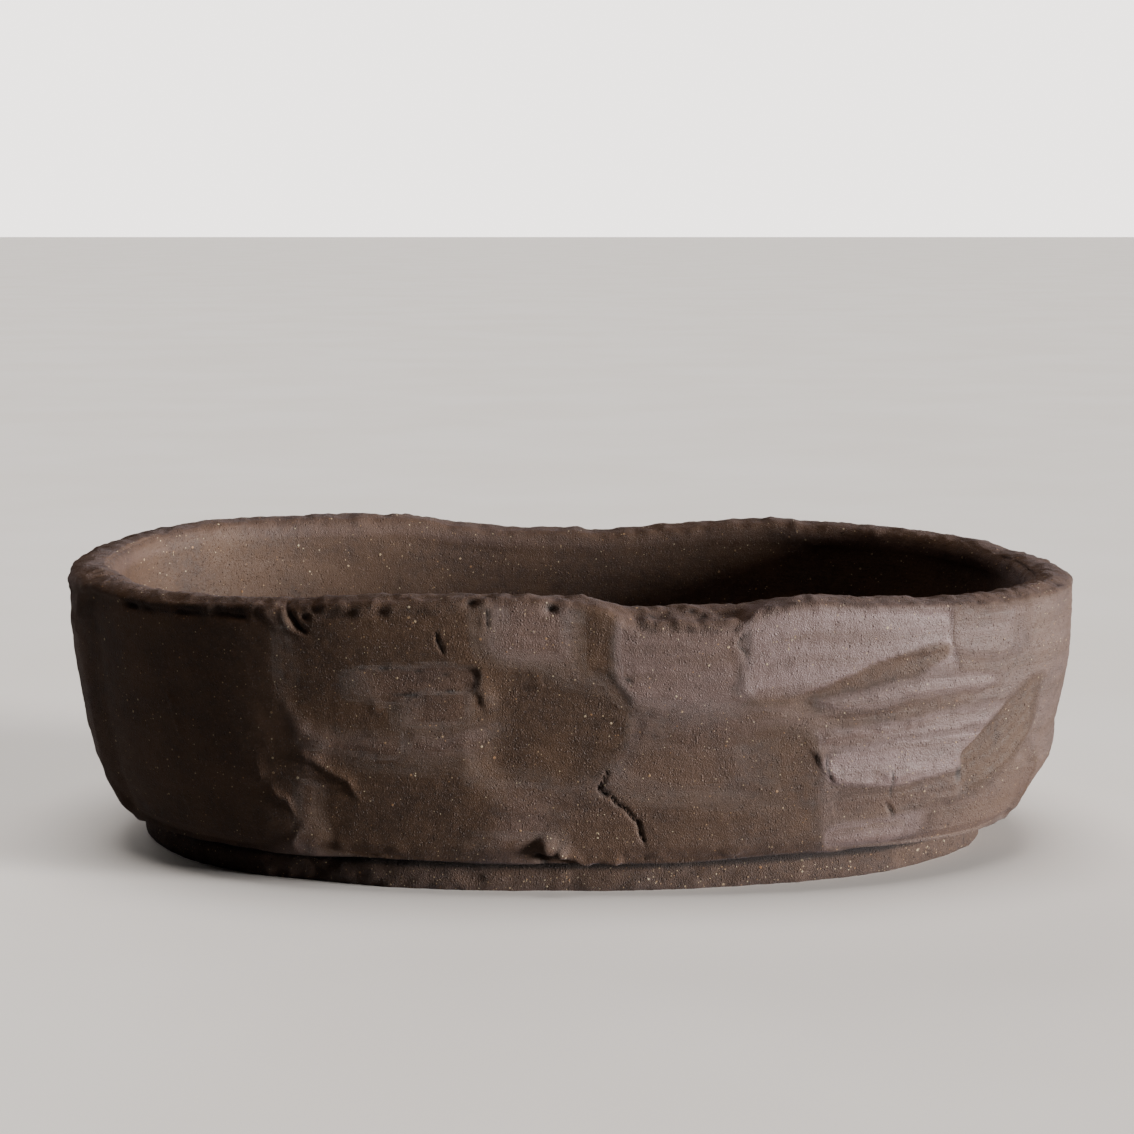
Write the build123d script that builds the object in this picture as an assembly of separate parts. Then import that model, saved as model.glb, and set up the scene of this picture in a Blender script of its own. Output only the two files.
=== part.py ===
from build123d import *
from math import cos, pi, sin, sqrt
import os

# Hand-built oval bonsai pot of coarse unglazed clay, in millimetres. The origin is under the middle
# of the pot on the surface it stands on, +X along the pot, +Y to its back, +Z up.

# Overall sizes
pot_length = 278.0
pot_depth = 156.0
rim_height = 81.0  # highest point of the uneven rim
plan_exponent = 2.45  # 2 is an ellipse, more is a blunter oval

# Clay thicknesses
wall_thickness_at_ends = 13.5
wall_thickness_at_sides = 11.0
slab_thickness = 8.0
rim_rounding = 3.0

# The slab under the wall is smaller than the wall and lies a little to the left
slab_setback_at_ends = 22.0
slab_setback_at_sides = 12.0
slab_shift = -3.0
slab_exponent = 2.1
slab_edge_rounding = 1.5

# Clay coil pressed into the corner between the wall and the slab
coil_width = 11.0
coil_height = 12.0
coil_top_land = 1.5

# Holes through the slab
drain_hole_radius = 11.0
drain_hole_spacing = 124.0
drain_bevel_width = 6.0
drain_bevel_depth = 4.0
wire_hole_radius = 2.5
wire_hole_spacing_x = 60.0
wire_hole_spacing_y = 56.0

# Plastic mesh over each drain hole
screen_thickness = 1.2
screen_overlap = 6.0  # how far the mesh reaches past the hole
screen_strand = 1.0
screen_pitch = 3.4

# Wire clip that holds each mesh down
wire_radius = 0.75
wire_bend_radius = 1.6
clip_reach = 2.0  # how far the loops reach past the hole
clip_clearance = 0.3

# Outside of the wall from its lower edge up: share of the wall's height, inset at the ends and sides
outer_profile = (
    (0.0, 20.0, 9.0),
    (0.07, 11.5, 5.5),
    (0.14, 8.8, 4.6),
    (0.24, 5.6, 3.5),
    (0.42, 3.2, 2.4),
    (0.62, 1.0, 1.1),
    (0.84, 0.0, 0.0),
    (1.1, 0.0, 0.0),
)
# Inside of the wall, inset from the outside of the rim less the wall's thickness
inner_profile = (
    (0.0, 14.0, 8.0),
    (0.08, 8.0, 6.0),
    (0.2, 5.5, 4.5),
    (0.5, 2.0, 2.0),
    (0.8, 0.5, 0.5),
    (1.1, 0.0, 0.0),
)
# The uneven rim: share of the half length from the middle, drop below the highest point
front_rim = (
    (-1.05, 3.0), (-0.82, 5.6), (-0.55, 5.8), (-0.2, 3.0), (0.03, 3.5), (0.17, 7.0),
    (0.31, 6.4), (0.45, 4.4), (0.62, 5.2), (0.8, 7.0), (1.05, 7.4),
)
back_rim = (
    (-1.05, 3.0), (-0.78, 0.2), (-0.4, 1.2), (-0.16, 5.2), (0.06, 6.4), (0.28, 3.6),
    (0.46, 2.1), (0.76, 3.0), (1.05, 7.4),
)

# Sizes that follow from the ones above
half_length = pot_length / 2
half_depth = pot_depth / 2
wall_height = rim_height - slab_thickness
slab_half_length = half_length - slab_setback_at_ends
slab_half_depth = half_depth - slab_setback_at_sides
drain_hole_places = {"left": -drain_hole_spacing / 2, "right": drain_hole_spacing / 2}
screen_top = slab_thickness + screen_thickness
POINTS_AROUND = 28


def superellipse_point(half_x, half_y, exponent, angle):
    """A point of a blunt oval, by angle in radians."""
    across, along = cos(angle), sin(angle)
    x = half_x * abs(across) ** (2 / exponent) * (1 if across >= 0 else -1)
    y = half_y * abs(along) ** (2 / exponent) * (1 if along >= 0 else -1)
    return x, y


def outline(half_x, half_y, exponent, z, shift=0.0):
    """A closed blunt oval at height z."""
    points = []
    for step in range(POINTS_AROUND):
        x, y = superellipse_point(half_x, half_y, exponent, 2 * pi * step / POINTS_AROUND)
        points.append((x + shift, y, z))
    return Wire([Edge.make_spline([Vector(*point) for point in points], periodic=True)])


def oval_loft(profile, half_x, half_y):
    """A solid through the outlines of a wall profile, from the slab up."""
    outlines = []
    for share, end_inset, side_inset in profile:
        z = slab_thickness + share * wall_height
        outlines.append(outline(half_x - end_inset, half_y - side_inset, plan_exponent, z))
    return Solid.make_loft(outlines, ruled=True)


def make_hollow():
    """The space inside the wall, which the wall and the corner coil both take their shape from."""
    inside_half_length = half_length - wall_thickness_at_ends
    inside_half_depth = half_depth - wall_thickness_at_sides
    return oval_loft(inner_profile, inside_half_length, inside_half_depth)


def rim_curve(heights, y):
    """The rim's height along the pot, on a line at y."""
    points = [Vector(share * half_length, y, rim_height - drop) for share, drop in heights]
    return Edge.make_spline(points)


def above_the_rim():
    """Everything over the uneven rim, to cut the wall to its height."""
    margin = half_depth + 5.0
    surface = Face.make_surface_from_curves(rim_curve(front_rim, -margin), rim_curve(back_rim, margin))
    return Solid.extrude(surface, Vector(0, 0, rim_height))


def make_wall(hollow):
    """The wall, which stands on the slab and is open at top and bottom."""
    wall = oval_loft(outer_profile, half_length, half_depth) - hollow - above_the_rim()
    rim_edges = [edge for edge in wall.edges() if edge.center().Z > slab_thickness + wall_height / 2]
    rim_loops = [edge for edge in rim_edges if edge.length > pot_length]
    return wall.solid().fillet(rim_rounding, rim_loops)


def make_base_slab():
    """The slab that is both floor and foot, with its drain holes and tie-wire holes."""
    lower = outline(slab_half_length, slab_half_depth, slab_exponent, 0.0, slab_shift)
    slab = Solid.extrude(Face(lower), Vector(0, 0, slab_thickness))
    rim_edges = [edge for edge in slab.edges() if edge.length > pot_length]
    slab = slab.fillet(slab_edge_rounding, [edge for edge in rim_edges if edge.center().Z > 0])
    for x in drain_hole_places.values():
        slab -= Pos(x, 0, slab_thickness / 2) * Cylinder(drain_hole_radius, slab_thickness)
        bevel = Cone(drain_hole_radius + drain_bevel_width, drain_hole_radius, drain_bevel_depth)
        slab -= Pos(x, 0, drain_bevel_depth / 2) * bevel
    for x in (-wire_hole_spacing_x / 2, wire_hole_spacing_x / 2):
        for y in (-wire_hole_spacing_y / 2, wire_hole_spacing_y / 2):
            slab -= Pos(x, y, slab_thickness / 2) * Cylinder(wire_hole_radius, slab_thickness)
    return slab


def make_corner_coil(hollow):
    """The clay coil in the corner: its back is the wall's inside, its face slopes to the floor."""
    inside_half_length = half_length - wall_thickness_at_ends - inner_profile[0][1]
    inside_half_depth = half_depth - wall_thickness_at_sides - inner_profile[0][2]
    top_inset_x = inner_profile[0][1] - inner_profile[1][1] - coil_top_land
    top_inset_y = inner_profile[0][2] - inner_profile[1][2] - coil_top_land
    stations = (
        (0.0, coil_width, coil_width),
        (0.5, coil_width / 2, coil_width / 2),
        (1.0, -top_inset_x, -top_inset_y),
    )
    inside = []
    for share, inset_x, inset_y in stations:
        z = slab_thickness + share * coil_height
        inside.append(outline(inside_half_length - inset_x, inside_half_depth - inset_y, plan_exponent, z))
    layer = Pos(0, 0, slab_thickness + coil_height / 2) * Box(2 * pot_length, 2 * pot_depth, coil_height)
    return (hollow & layer) - Solid.make_loft(inside)


def make_drain_screen(x):
    """A square of plastic mesh that lies over a drain hole, with one opening at its middle."""
    reach = drain_hole_radius + screen_overlap
    cells = 2 * int((reach - screen_strand) / screen_pitch) + 1
    side = cells * screen_pitch + screen_strand
    opening = screen_pitch - screen_strand
    place = Pos(x, 0, slab_thickness + screen_thickness / 2)
    screen = place * Box(side, side, screen_thickness)
    grid = GridLocations(screen_pitch, screen_pitch, cells, cells)
    openings = [place * location * Box(opening, opening, screen_thickness) for location in grid]
    return screen - openings


def make_screen_clip(x):
    """A bent wire: a flat loop over the mesh, two legs down the hole and an end under each side."""
    top = screen_top + wire_radius
    # The legs go through openings of the mesh, one row off its middle, as far out as the hole lets them
    side = screen_pitch
    leg_circle = drain_hole_radius - wire_radius - clip_clearance
    leg = screen_pitch * int(sqrt(leg_circle**2 - side**2) / screen_pitch)
    loop_end = drain_hole_radius + clip_reach + side
    # Each end stops where the wire would meet the bevel under the slab
    wire_top = 2 * wire_radius + 2 * clip_clearance
    tip = drain_hole_radius + drain_bevel_width * (1 - wire_top / drain_bevel_depth) - clip_clearance
    foot = wire_radius + clip_clearance
    left_half = [(-tip, side, foot), (-leg, side, foot), (-leg, side, top), (-loop_end, side, top)]
    left_half.append((-loop_end, -side, top))
    right_half = [(-px, py, pz) for px, py, pz in reversed(left_half)]
    loop_bend = 0.98 * side
    bends = [wire_bend_radius, wire_bend_radius, loop_bend, loop_bend]
    path = FilletPolyline(*left_half, *right_half, radius=bends + bends[::-1])
    section = Plane(origin=path @ 0, z_dir=path % 0) * Circle(wire_radius)
    return Pos(x, 0, 0) * sweep(section, path)


def write(name, shape):
    """Writes one node's solids to its own file."""
    shape.label = name
    export_step(shape, f"parts/{name}.step")


if __name__ == "__main__":
    os.makedirs("parts", exist_ok=True)
    hollow = make_hollow()
    write("wall", make_wall(hollow))
    write("base_slab", make_base_slab())
    write("corner_coil", make_corner_coil(hollow))
    for side, place in drain_hole_places.items():
        write(f"drain_screen_{side}", make_drain_screen(place))
        write(f"screen_clip_{side}", make_screen_clip(place))
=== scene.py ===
"""Oval bonsai pot of scraped, coarse clay: wall, slab, corner coil, drain screens and their clips."""

from __future__ import annotations

import logging
import math
from dataclasses import dataclass, field
from enum import Enum
from typing import ClassVar

import bpy
import numpy as np
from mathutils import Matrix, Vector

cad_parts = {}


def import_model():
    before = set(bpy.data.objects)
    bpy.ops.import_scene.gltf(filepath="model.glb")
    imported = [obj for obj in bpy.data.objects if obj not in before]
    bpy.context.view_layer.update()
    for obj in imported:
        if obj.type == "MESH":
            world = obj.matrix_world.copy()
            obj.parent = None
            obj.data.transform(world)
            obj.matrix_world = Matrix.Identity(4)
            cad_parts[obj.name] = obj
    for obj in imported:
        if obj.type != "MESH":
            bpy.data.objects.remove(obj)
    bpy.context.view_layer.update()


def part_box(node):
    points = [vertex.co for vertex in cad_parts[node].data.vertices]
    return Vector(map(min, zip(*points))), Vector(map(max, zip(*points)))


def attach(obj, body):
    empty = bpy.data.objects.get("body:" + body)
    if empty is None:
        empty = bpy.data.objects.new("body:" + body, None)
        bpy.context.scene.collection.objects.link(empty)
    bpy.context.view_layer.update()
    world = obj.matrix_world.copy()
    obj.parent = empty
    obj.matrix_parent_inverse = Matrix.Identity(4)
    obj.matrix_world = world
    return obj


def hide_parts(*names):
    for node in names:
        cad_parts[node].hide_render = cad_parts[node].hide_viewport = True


log = logging.getLogger("bonsai_pot")

MM = 0.001
BODY = "root"

# Heights of the wall's hem and rim edge on the laid-out wall, and of the rim's highest point
LAID_HEM, LAID_TOP, RIM_TOP = 9.2, 73.2, 81.0

Path = tuple[tuple[float, float], ...]
Profile = tuple[tuple[float, float, float], ...]


class Side(Enum):
    """The two ends of the pot that a drain hole, screen and clip belong to."""

    LEFT = "left"
    RIGHT = "right"


class Lip(Enum):
    """The end of a scrape where the tool leaves its burr."""

    NONE = 0
    LEFT = -1
    RIGHT = 1


# ---------------------------------------------------------------------------------------------
# Small helpers for meshes
# ---------------------------------------------------------------------------------------------


def deselect_all() -> None:
    """Leaves nothing selected, so that an operator touches only the new piece."""
    if bpy.context.object and bpy.context.object.mode != "OBJECT":
        bpy.ops.object.mode_set(mode="OBJECT")
    bpy.ops.object.select_all(action="DESELECT")


def activate(piece: bpy.types.Object) -> None:
    """Makes a piece the only one selected and the active one."""
    deselect_all()
    piece.select_set(True)
    bpy.context.view_layer.objects.active = piece


def name_piece(name: str) -> bpy.types.Object:
    """Names the active object and its mesh, and returns it.

    Args:
        name: The piece's name.

    Returns:
        The active object.
    """
    piece = bpy.context.object
    piece.name = name
    piece.data.name = name
    return piece


def join_frame(piece: bpy.types.Object, node: str) -> None:
    """Makes a piece stand for its CAD node.

    Args:
        piece: The finished piece.
        node: The CAD node that it stands for.
    """
    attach(piece, BODY)
    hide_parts(node)
    log.info("%s: %d faces, stands for %s", piece.name, len(piece.data.polygons), node)


def apply_place(piece: bpy.types.Object) -> None:
    """Moves a piece's place, turn and scale into its mesh."""
    activate(piece)
    bpy.ops.object.transform_apply(location=True, rotation=True, scale=True)


def apply_modifiers(piece: bpy.types.Object) -> None:
    """Applies all modifiers of a piece in their order."""
    activate(piece)
    for name in [modifier.name for modifier in piece.modifiers]:
        bpy.ops.object.modifier_apply(modifier=name)


def raise_rings(name: str, columns: int, rows: int) -> bpy.types.Object:
    """Extrudes a circle ring by ring, as a potter adds coils, with row and column readable later.

    Args:
        name: The piece's name.
        columns: Points round a ring.
        rows: Number of rings.

    Returns:
        An open tube of unit rings one unit apart.
    """
    deselect_all()
    bpy.ops.mesh.primitive_circle_add(vertices=columns, radius=1.0, fill_type="NOTHING")
    piece = name_piece(name)
    bpy.ops.object.mode_set(mode="EDIT")
    bpy.ops.mesh.select_all(action="SELECT")
    for _ in range(rows - 1):
        bpy.ops.mesh.extrude_region_move(TRANSFORM_OT_translate={"value": (0.0, 0.0, 1.0)})
    bpy.ops.object.mode_set(mode="OBJECT")
    return piece


def read_places(piece: bpy.types.Object) -> np.ndarray:
    """Returns a mesh's points as an array of rows of x, y, z."""
    places = np.empty(len(piece.data.vertices) * 3)
    piece.data.vertices.foreach_get("co", places)
    return places.reshape(-1, 3)


def write_places(piece: bpy.types.Object, places: np.ndarray) -> None:
    """Moves a mesh's points to an array of rows of x, y, z."""
    piece.data.vertices.foreach_set("co", places.astype(np.float32).ravel())
    piece.data.update()


def ring_index(piece: bpy.types.Object, columns: int) -> tuple[np.ndarray, np.ndarray]:
    """Reads which ring and column each point of a raised tube belongs to.

    Args:
        piece: A tube made by raise_rings, before its points are moved.
        columns: Points round a ring.

    Returns:
        The row and the column of each point.
    """
    places = read_places(piece)
    row = np.rint(places[:, 2]).astype(int)
    turn = np.arctan2(places[:, 1], places[:, 0]) / (2 * math.pi) * columns
    return row, np.rint(turn).astype(int) % columns


def pick_open_edges(piece: bpy.types.Object) -> None:
    """Starts editing a tube with the edges of its two open ends selected."""
    activate(piece)
    bpy.ops.object.mode_set(mode="EDIT")
    bpy.ops.mesh.select_all(action="DESELECT")
    bpy.ops.mesh.select_mode(type="EDGE")
    bpy.ops.mesh.select_non_manifold(extend=False, use_boundary=True, use_wire=False)


def close_rings(piece: bpy.types.Object) -> None:
    """Bridges the first and last ring of a tube, so that it closes on itself like a hoop."""
    pick_open_edges(piece)
    bpy.ops.mesh.bridge_edge_loops()
    bpy.ops.object.mode_set(mode="OBJECT")


def cap_rings(piece: bpy.types.Object) -> None:
    """Fills the small first and last ring of a tube."""
    pick_open_edges(piece)
    bpy.ops.mesh.edge_face_add()
    bpy.ops.object.mode_set(mode="OBJECT")


def face_outwards(piece: bpy.types.Object) -> None:
    """Turns all faces outwards and shades them smooth."""
    activate(piece)
    bpy.ops.object.mode_set(mode="EDIT")
    bpy.ops.mesh.select_all(action="SELECT")
    bpy.ops.mesh.normals_make_consistent(inside=False)
    bpy.ops.object.mode_set(mode="OBJECT")
    bpy.ops.object.shade_smooth()


def paint(piece: bpy.types.Object, **layers: np.ndarray) -> None:
    """Stores one number per point in each named layer, for the materials to read."""
    for name, values in layers.items():
        layer = piece.data.attributes.new(name, "FLOAT", "POINT")
        layer.data.foreach_set("value", values.astype(np.float32).ravel())


# ---------------------------------------------------------------------------------------------
# Shapes shared by the clay pieces
# ---------------------------------------------------------------------------------------------


def ease(share: np.ndarray) -> np.ndarray:
    """Smooth step from 0 to 1."""
    held = np.clip(share, 0.0, 1.0)
    return held * held * (3 - 2 * held)


@dataclass(frozen=True)
class BluntOval:
    """A closed oval with blunt ends, in millimetres, walked from its front middle to the right."""

    half_x: float
    half_y: float
    exponent: float
    shift: float = 0.0

    def trace(self, turn: np.ndarray) -> tuple[np.ndarray, np.ndarray]:
        """Returns x and y at turns in radians, where 0 is the front middle."""
        along, across = np.sin(turn), -np.cos(turn)
        x = self.half_x * np.sign(along) * np.abs(along) ** (2 / self.exponent)
        y = self.half_y * np.sign(across) * np.abs(across) ** (2 / self.exponent)
        return x + self.shift, y

    def walk(self, columns: int, front_share: float) -> dict[str, np.ndarray]:
        """Spreads points round the oval, closer together on its front half.

        Args:
            columns: Number of points.
            front_share: Share of the points that lie on the front half.

        Returns:
            x, y, outward nx and ny, and the distance walked, negative on the left.
        """
        fine = np.linspace(-math.pi, math.pi, 20001)
        x, y = self.trace(fine)
        steps = np.hypot(np.diff(x), np.diff(y))
        length = np.concatenate([[0.0], np.cumsum(steps)])
        length -= length[-1] / 2
        mid_y = (y[1:] + y[:-1]) / 2 / self.half_y
        weight = front_share + (1 - 2 * front_share) * ease(mid_y * 1.5 + 0.5)
        count = np.concatenate([[0.0], np.cumsum(steps * weight)])
        wanted = (np.arange(columns) + 0.5) / columns * count[-1]
        at = np.interp(wanted, count, length)
        px, py = np.interp(at, length, x), np.interp(at, length, y)
        step = 1.5
        x1, x0 = np.interp(at + step, length, x), np.interp(at - step, length, x)
        y1, y0 = np.interp(at + step, length, y), np.interp(at - step, length, y)
        run = np.hypot(x1 - x0, y1 - y0)
        return {"x": px, "y": py, "nx": (y1 - y0) / run, "ny": (x0 - x1) / run, "walked": at,
                "girth": np.array(length[-1] * 2)}


@dataclass
class ClayNoise:
    """Smooth random relief that closes on itself round the pot."""

    girth: float
    seed: int
    draws: np.random.Generator = field(init=False)
    usual_spread: ClassVar[float] = 0.66

    def __post_init__(self) -> None:
        """Starts the draws from the seed."""
        self.draws = np.random.default_rng(self.seed)

    def field(self, around: np.ndarray, up: np.ndarray, cell: float, tall: float = 0.0) -> np.ndarray:
        """Draws one layer of relief.

        Args:
            around: Distance round the pot of each point, in millimetres.
            up: Distance up the wall of each point.
            cell: Size of a lump round the pot.
            tall: Size of a lump up the wall, the same as cell if 0.

        Returns:
            A value for each point, about -1 to 1.
        """
        tall = tall or cell
        columns = max(4, round(self.girth / cell))
        rows = int((up.max() - up.min()) / tall) + 5
        lattice = self.draws.standard_normal((rows, columns))
        across = np.mod(around / self.girth, 1.0) * columns
        above = (up - up.min()) / tall + 1
        i, j = np.floor(across).astype(int), np.floor(above).astype(int)
        wx, wy = self._weights(across - i), self._weights(above - j)
        total = np.zeros(np.broadcast(around, up).shape)
        for m in range(4):
            for n in range(4):
                total += wy[m] * wx[n] * lattice[(j + m - 1) % rows, (i + n - 1) % columns]
        return total / self.usual_spread

    @staticmethod
    def _weights(share: np.ndarray) -> tuple[np.ndarray, ...]:
        """Cubic blending weights of four neighbours."""
        rest = 1 - share
        return (rest**3 / 6, (3 * share**3 - 6 * share**2 + 4) / 6,
                (3 * rest**3 - 6 * rest**2 + 4) / 6, share**3 / 6)


def taper(share: np.ndarray, part: float) -> np.ndarray:
    """Rises from 0 to 1 in the first part of a line and falls back in the last."""
    return ease(share / part) * ease((1 - share) / part)


def distance_to(path: Path, around: np.ndarray, up: np.ndarray) -> tuple[np.ndarray, np.ndarray, np.ndarray]:
    """Measures each point against a drawn line.

    Args:
        path: Points of the line, as distance round and up.
        around: Distance round the pot of each point.
        up: Distance up the wall of each point.

    Returns:
        The distance, the share of the line passed, and the side, positive on the line's right.
    """
    best = np.full(np.broadcast(around, up).shape, 1e9)
    passed = np.zeros_like(best)
    side = np.zeros_like(best)
    legs = len(path) - 1
    for leg, ((x0, y0), (x1, y1)) in enumerate(zip(path[:-1], path[1:])):
        dx, dy = x1 - x0, y1 - y0
        share = np.clip(((around - x0) * dx + (up - y0) * dy) / (dx * dx + dy * dy), 0, 1)
        gap_x, gap_y = around - x0 - share * dx, up - y0 - share * dy
        gap = np.hypot(gap_x, gap_y)
        nearer = gap < best
        best = np.where(nearer, gap, best)
        passed = np.where(nearer, (leg + share) / legs, passed)
        side = np.where(nearer, np.sign(gap_x * dy - gap_y * dx), side)
    return best, passed, side


# ---------------------------------------------------------------------------------------------
# Marks that the potter's hands and tools leave
# ---------------------------------------------------------------------------------------------


@dataclass(frozen=True)
class Scrape:
    """One pass of a rib or finger: a shallow plane in the clay, with a burr where the tool stops.

    Places are millimetres from the front middle and above the table.
    """

    left: float
    right: float
    low: float
    high: float
    rise: float = 0.0  # how much higher its right end is
    tilt: float = 0.0  # how much further out its left end is
    lean: float = 0.0  # how much further out its lower edge is
    sink: float = 0.3
    hollow: float = 0.0
    burr: float = 0.0
    lip: Lip = Lip.NONE
    soft: tuple[float, float, float, float] = (6.0, 3.0, 3.0, 3.0)  # left, right, low, high edges
    lines: float = 0.08  # depth of the fine lines it draws
    # Burnish and painted highlight: the lighter, lilac rubbed colour also stands in for the sheen on facets
    # turned to the light
    burnish: float = 0.4
    blunt: float = 3.2  # 2 is a lens, more is a blunter pass


@dataclass(frozen=True)
class Crack:
    """A thin split in the clay, as a line from the front middle and above the table."""

    path: Path
    width: float
    depth: float
    lip: float = 0.0
    ends: tuple[float, float] = (0.6, 0.3)  # width at its start and end as shares


@dataclass(frozen=True)
class Pit:
    """A small hole or lump torn in the clay. A negative depth is a lump."""

    at: tuple[float, float]
    size: tuple[float, float]
    depth: float
    turn: float = 0.0


class Relief:
    """The outside of the wall laid out flat, where marks are cut one after another."""

    def __init__(self, around: np.ndarray, up: np.ndarray, girth: float, seed: int) -> None:
        """Starts from a gently uneven surface.

        Args:
            around: Distance round the pot of each point, in millimetres.
            up: Distance up the wall of each point.
            girth: Distance once round the pot.
            seed: Seed of every draw.
        """
        self.around, self.up, self.girth = around, up, girth
        self.noise = ClayNoise(girth, seed)
        self.draws = np.random.default_rng(seed + 1)
        self.height = 0.35 * self.noise.field(around, up, 46.0, 30.0)
        self.height += 0.16 * self.noise.field(around, up, 17.0, 9.0)
        self.wander_x = 2.2 * self.noise.field(around, up, 13.0) + 0.6 * self.noise.field(around, up, 3.5)
        self.wander_y = 1.3 * self.noise.field(around, up, 17.0) + 0.4 * self.noise.field(around, up, 4.0)
        self.ragged = np.clip(0.6 + 0.6 * self.noise.field(around, up, 3.2), 0.0, 1.6)
        self.crumbs = self.noise.field(around, up, 1.9)
        self.grain = up + 1.2 * self.noise.field(around, up, 40.0)
        # Burnish and painted highlight, laid as the lighter rubbed colour
        self.burnish = np.full(self.height.shape, 0.25)
        # Painted shade: darkens cracks, holes, hollows and the joint under the wall, where the mesh is too
        # coarse to cast it
        self.crevice = np.zeros(self.height.shape)
        self.torn = np.zeros(self.height.shape)

    def from_middle(self, left: float) -> np.ndarray:
        """Distance round the pot from a place, the short way."""
        return np.mod(self.around - left + self.girth / 2, self.girth) - self.girth / 2

    def scrape(self, mark: Scrape) -> None:
        """Cuts one pass of the tool, leaves its burr and lays its burnish and painted highlight."""
        length, tall = mark.right - mark.left, mark.high - mark.low
        x = self.from_middle((mark.left + mark.right) / 2) + length / 2 + self.wander_x
        along = x / length
        y = self.up - mark.low - mark.rise * along + self.wander_y
        across = y / tall
        soft_left, soft_right, soft_low, soft_high = mark.soft
        bulge = np.clip(1 - np.abs(2 * along - 1) ** mark.blunt, 0, 1) ** (1 / mark.blunt)
        from_low, from_high = y - tall * (1 - bulge) / 2, tall * (1 + bulge) / 2 - y
        sides = ease(from_low / soft_low) * ease(from_high / soft_high)
        over = ease(x / soft_left) * ease((length - x) / soft_right) * sides
        if over.max() <= 0:
            return
        level = float((self.height * over).sum() / over.sum())
        plane = 0.6 * level - mark.sink + mark.tilt * (0.5 - along) + mark.lean * (0.5 - across)
        plane = plane - mark.hollow * (1 - (2 * across - 1) ** 2)
        offset = self.draws.uniform(0, 500)
        lines = np.interp(y + offset, self._line_places, self._line_depths)
        plane = plane + mark.lines * lines
        self.height += over * (plane - self.height)
        self.grain += over * (self.up - mark.rise * along + offset - self.grain)
        rubbed_and_highlight = ease(1.25 * over - 0.1)
        self.burnish += rubbed_and_highlight * (mark.burnish - self.burnish)
        self.torn *= 1 - 0.8 * over
        if mark.lip is not Lip.NONE:
            edge = length - x if mark.lip is Lip.RIGHT else x
            inner = 1 - np.minimum(1.0, np.abs(2 * across - 1)) ** 3
            ridge = np.exp(-((edge - 2.2 * (1 - inner)) / 1.0) ** 2) * self.ragged * (inner > 0)
            self.height += mark.burr * ridge * inner
            self.torn = np.maximum(self.torn, 0.4 * ridge * inner)
        high_edge = np.exp(-((from_high / 0.9) ** 2)) * ease(x / soft_left) * ease((length - x) / soft_right)
        self.height += 0.35 * mark.burr * high_edge * self.ragged

    def ready_lines(self) -> None:
        """Draws the uneven teeth of the tool, which all passes share."""
        self._line_places = np.arange(0, 700, 0.9)
        self._line_depths = self.draws.standard_normal(len(self._line_places))

    def crack(self, mark: Crack) -> None:
        """Opens a split, paints shade down in it and raises its lip."""
        around = self.from_middle(0.0) + 0.08 * self.wander_x + 0.28 * self.crumbs
        gap, passed, side = distance_to(mark.path, around, self.up + 0.28 * np.roll(self.crumbs, 40, axis=1))
        start, end = mark.ends
        share = np.interp(passed, [0.0, 0.25, 0.75, 1.0], [start, 1.0, 1.0, end])
        width = mark.width * share * (0.75 + 0.25 * self.ragged)
        cut = np.exp(-((gap / (0.5 * width)) ** 2))
        self.height -= mark.depth * share * cut
        # painted shade down in the split
        self.crevice = np.maximum(self.crevice, cut * share)
        rim = np.exp(-(((gap - 1.3 * width) / width) ** 2)) * (side > 0)
        self.height += mark.lip * rim * self.ragged

    def ridge(self, path: Path, tall: float, width: float) -> None:
        """Leaves a line of squeezed-up clay.

        Args:
            path: Points of the line, from the front middle and above the table.
            tall: Height of the ridge.
            width: Width of the ridge.
        """
        around = self.from_middle(0.0) + 0.12 * self.wander_x + 0.35 * self.crumbs
        gap, passed, side = distance_to(path, around, self.up + 0.35 * np.roll(self.crumbs, 40, axis=1))
        steep = np.where(side > 0, 0.5 * width, 2.2 * width)
        crest = np.exp(-((gap / steep) ** 2))
        within = taper(passed, 0.12)
        self.height += tall * crest * within * np.clip(1.5 * self.ragged - 0.15, 0.1, 1.3)

    def step(self, path: Path, drop: float, blend: float) -> None:
        """Lowers the clay on the right of a line, fading out over a distance.

        Args:
            path: Points of the line, from the front middle and above the table.
            drop: How far the right side falls.
            blend: Distance over which the fall fades away.
        """
        gap, passed, side = distance_to(path, self.from_middle(0.0) + 0.3 * self.wander_x, self.up)
        within = taper(passed, 0.15)
        right = np.where(side > 0, gap, -gap)
        self.height -= drop * within * ease(right / 1.2 + 0.5) * np.exp(-np.maximum(right, 0) / blend)

    def shave(self, at: tuple[float, float], size: tuple[float, float], depth: float) -> None:
        """Takes a broad round cut off the clay.

        Args:
            at: Middle of the cut, round the pot and up the wall.
            size: Reach of the cut each way.
            depth: Its depth in the middle.
        """
        x, y = self.from_middle(at[0]) / size[0], (self.up - at[1]) / size[1]
        self.height -= depth * np.exp(-(x**2 + y**2))

    def pit(self, mark: Pit) -> None:
        """Digs a hole with painted shade in it, or leaves a lump."""
        x, y = self.from_middle(mark.at[0]), self.up - mark.at[1]
        turn = math.radians(mark.turn)
        across = (x * math.cos(turn) + y * math.sin(turn)) / mark.size[0]
        above = (y * math.cos(turn) - x * math.sin(turn)) / mark.size[1]
        hole = np.exp(-((across**2 + above**2) ** 1.3)) * (0.8 + 0.3 * self.ragged)
        self.height -= mark.depth * hole
        # a hole gets painted shade
        if mark.depth > 0:
            self.crevice = np.maximum(self.crevice, np.clip(hole, 0, 1))

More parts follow.
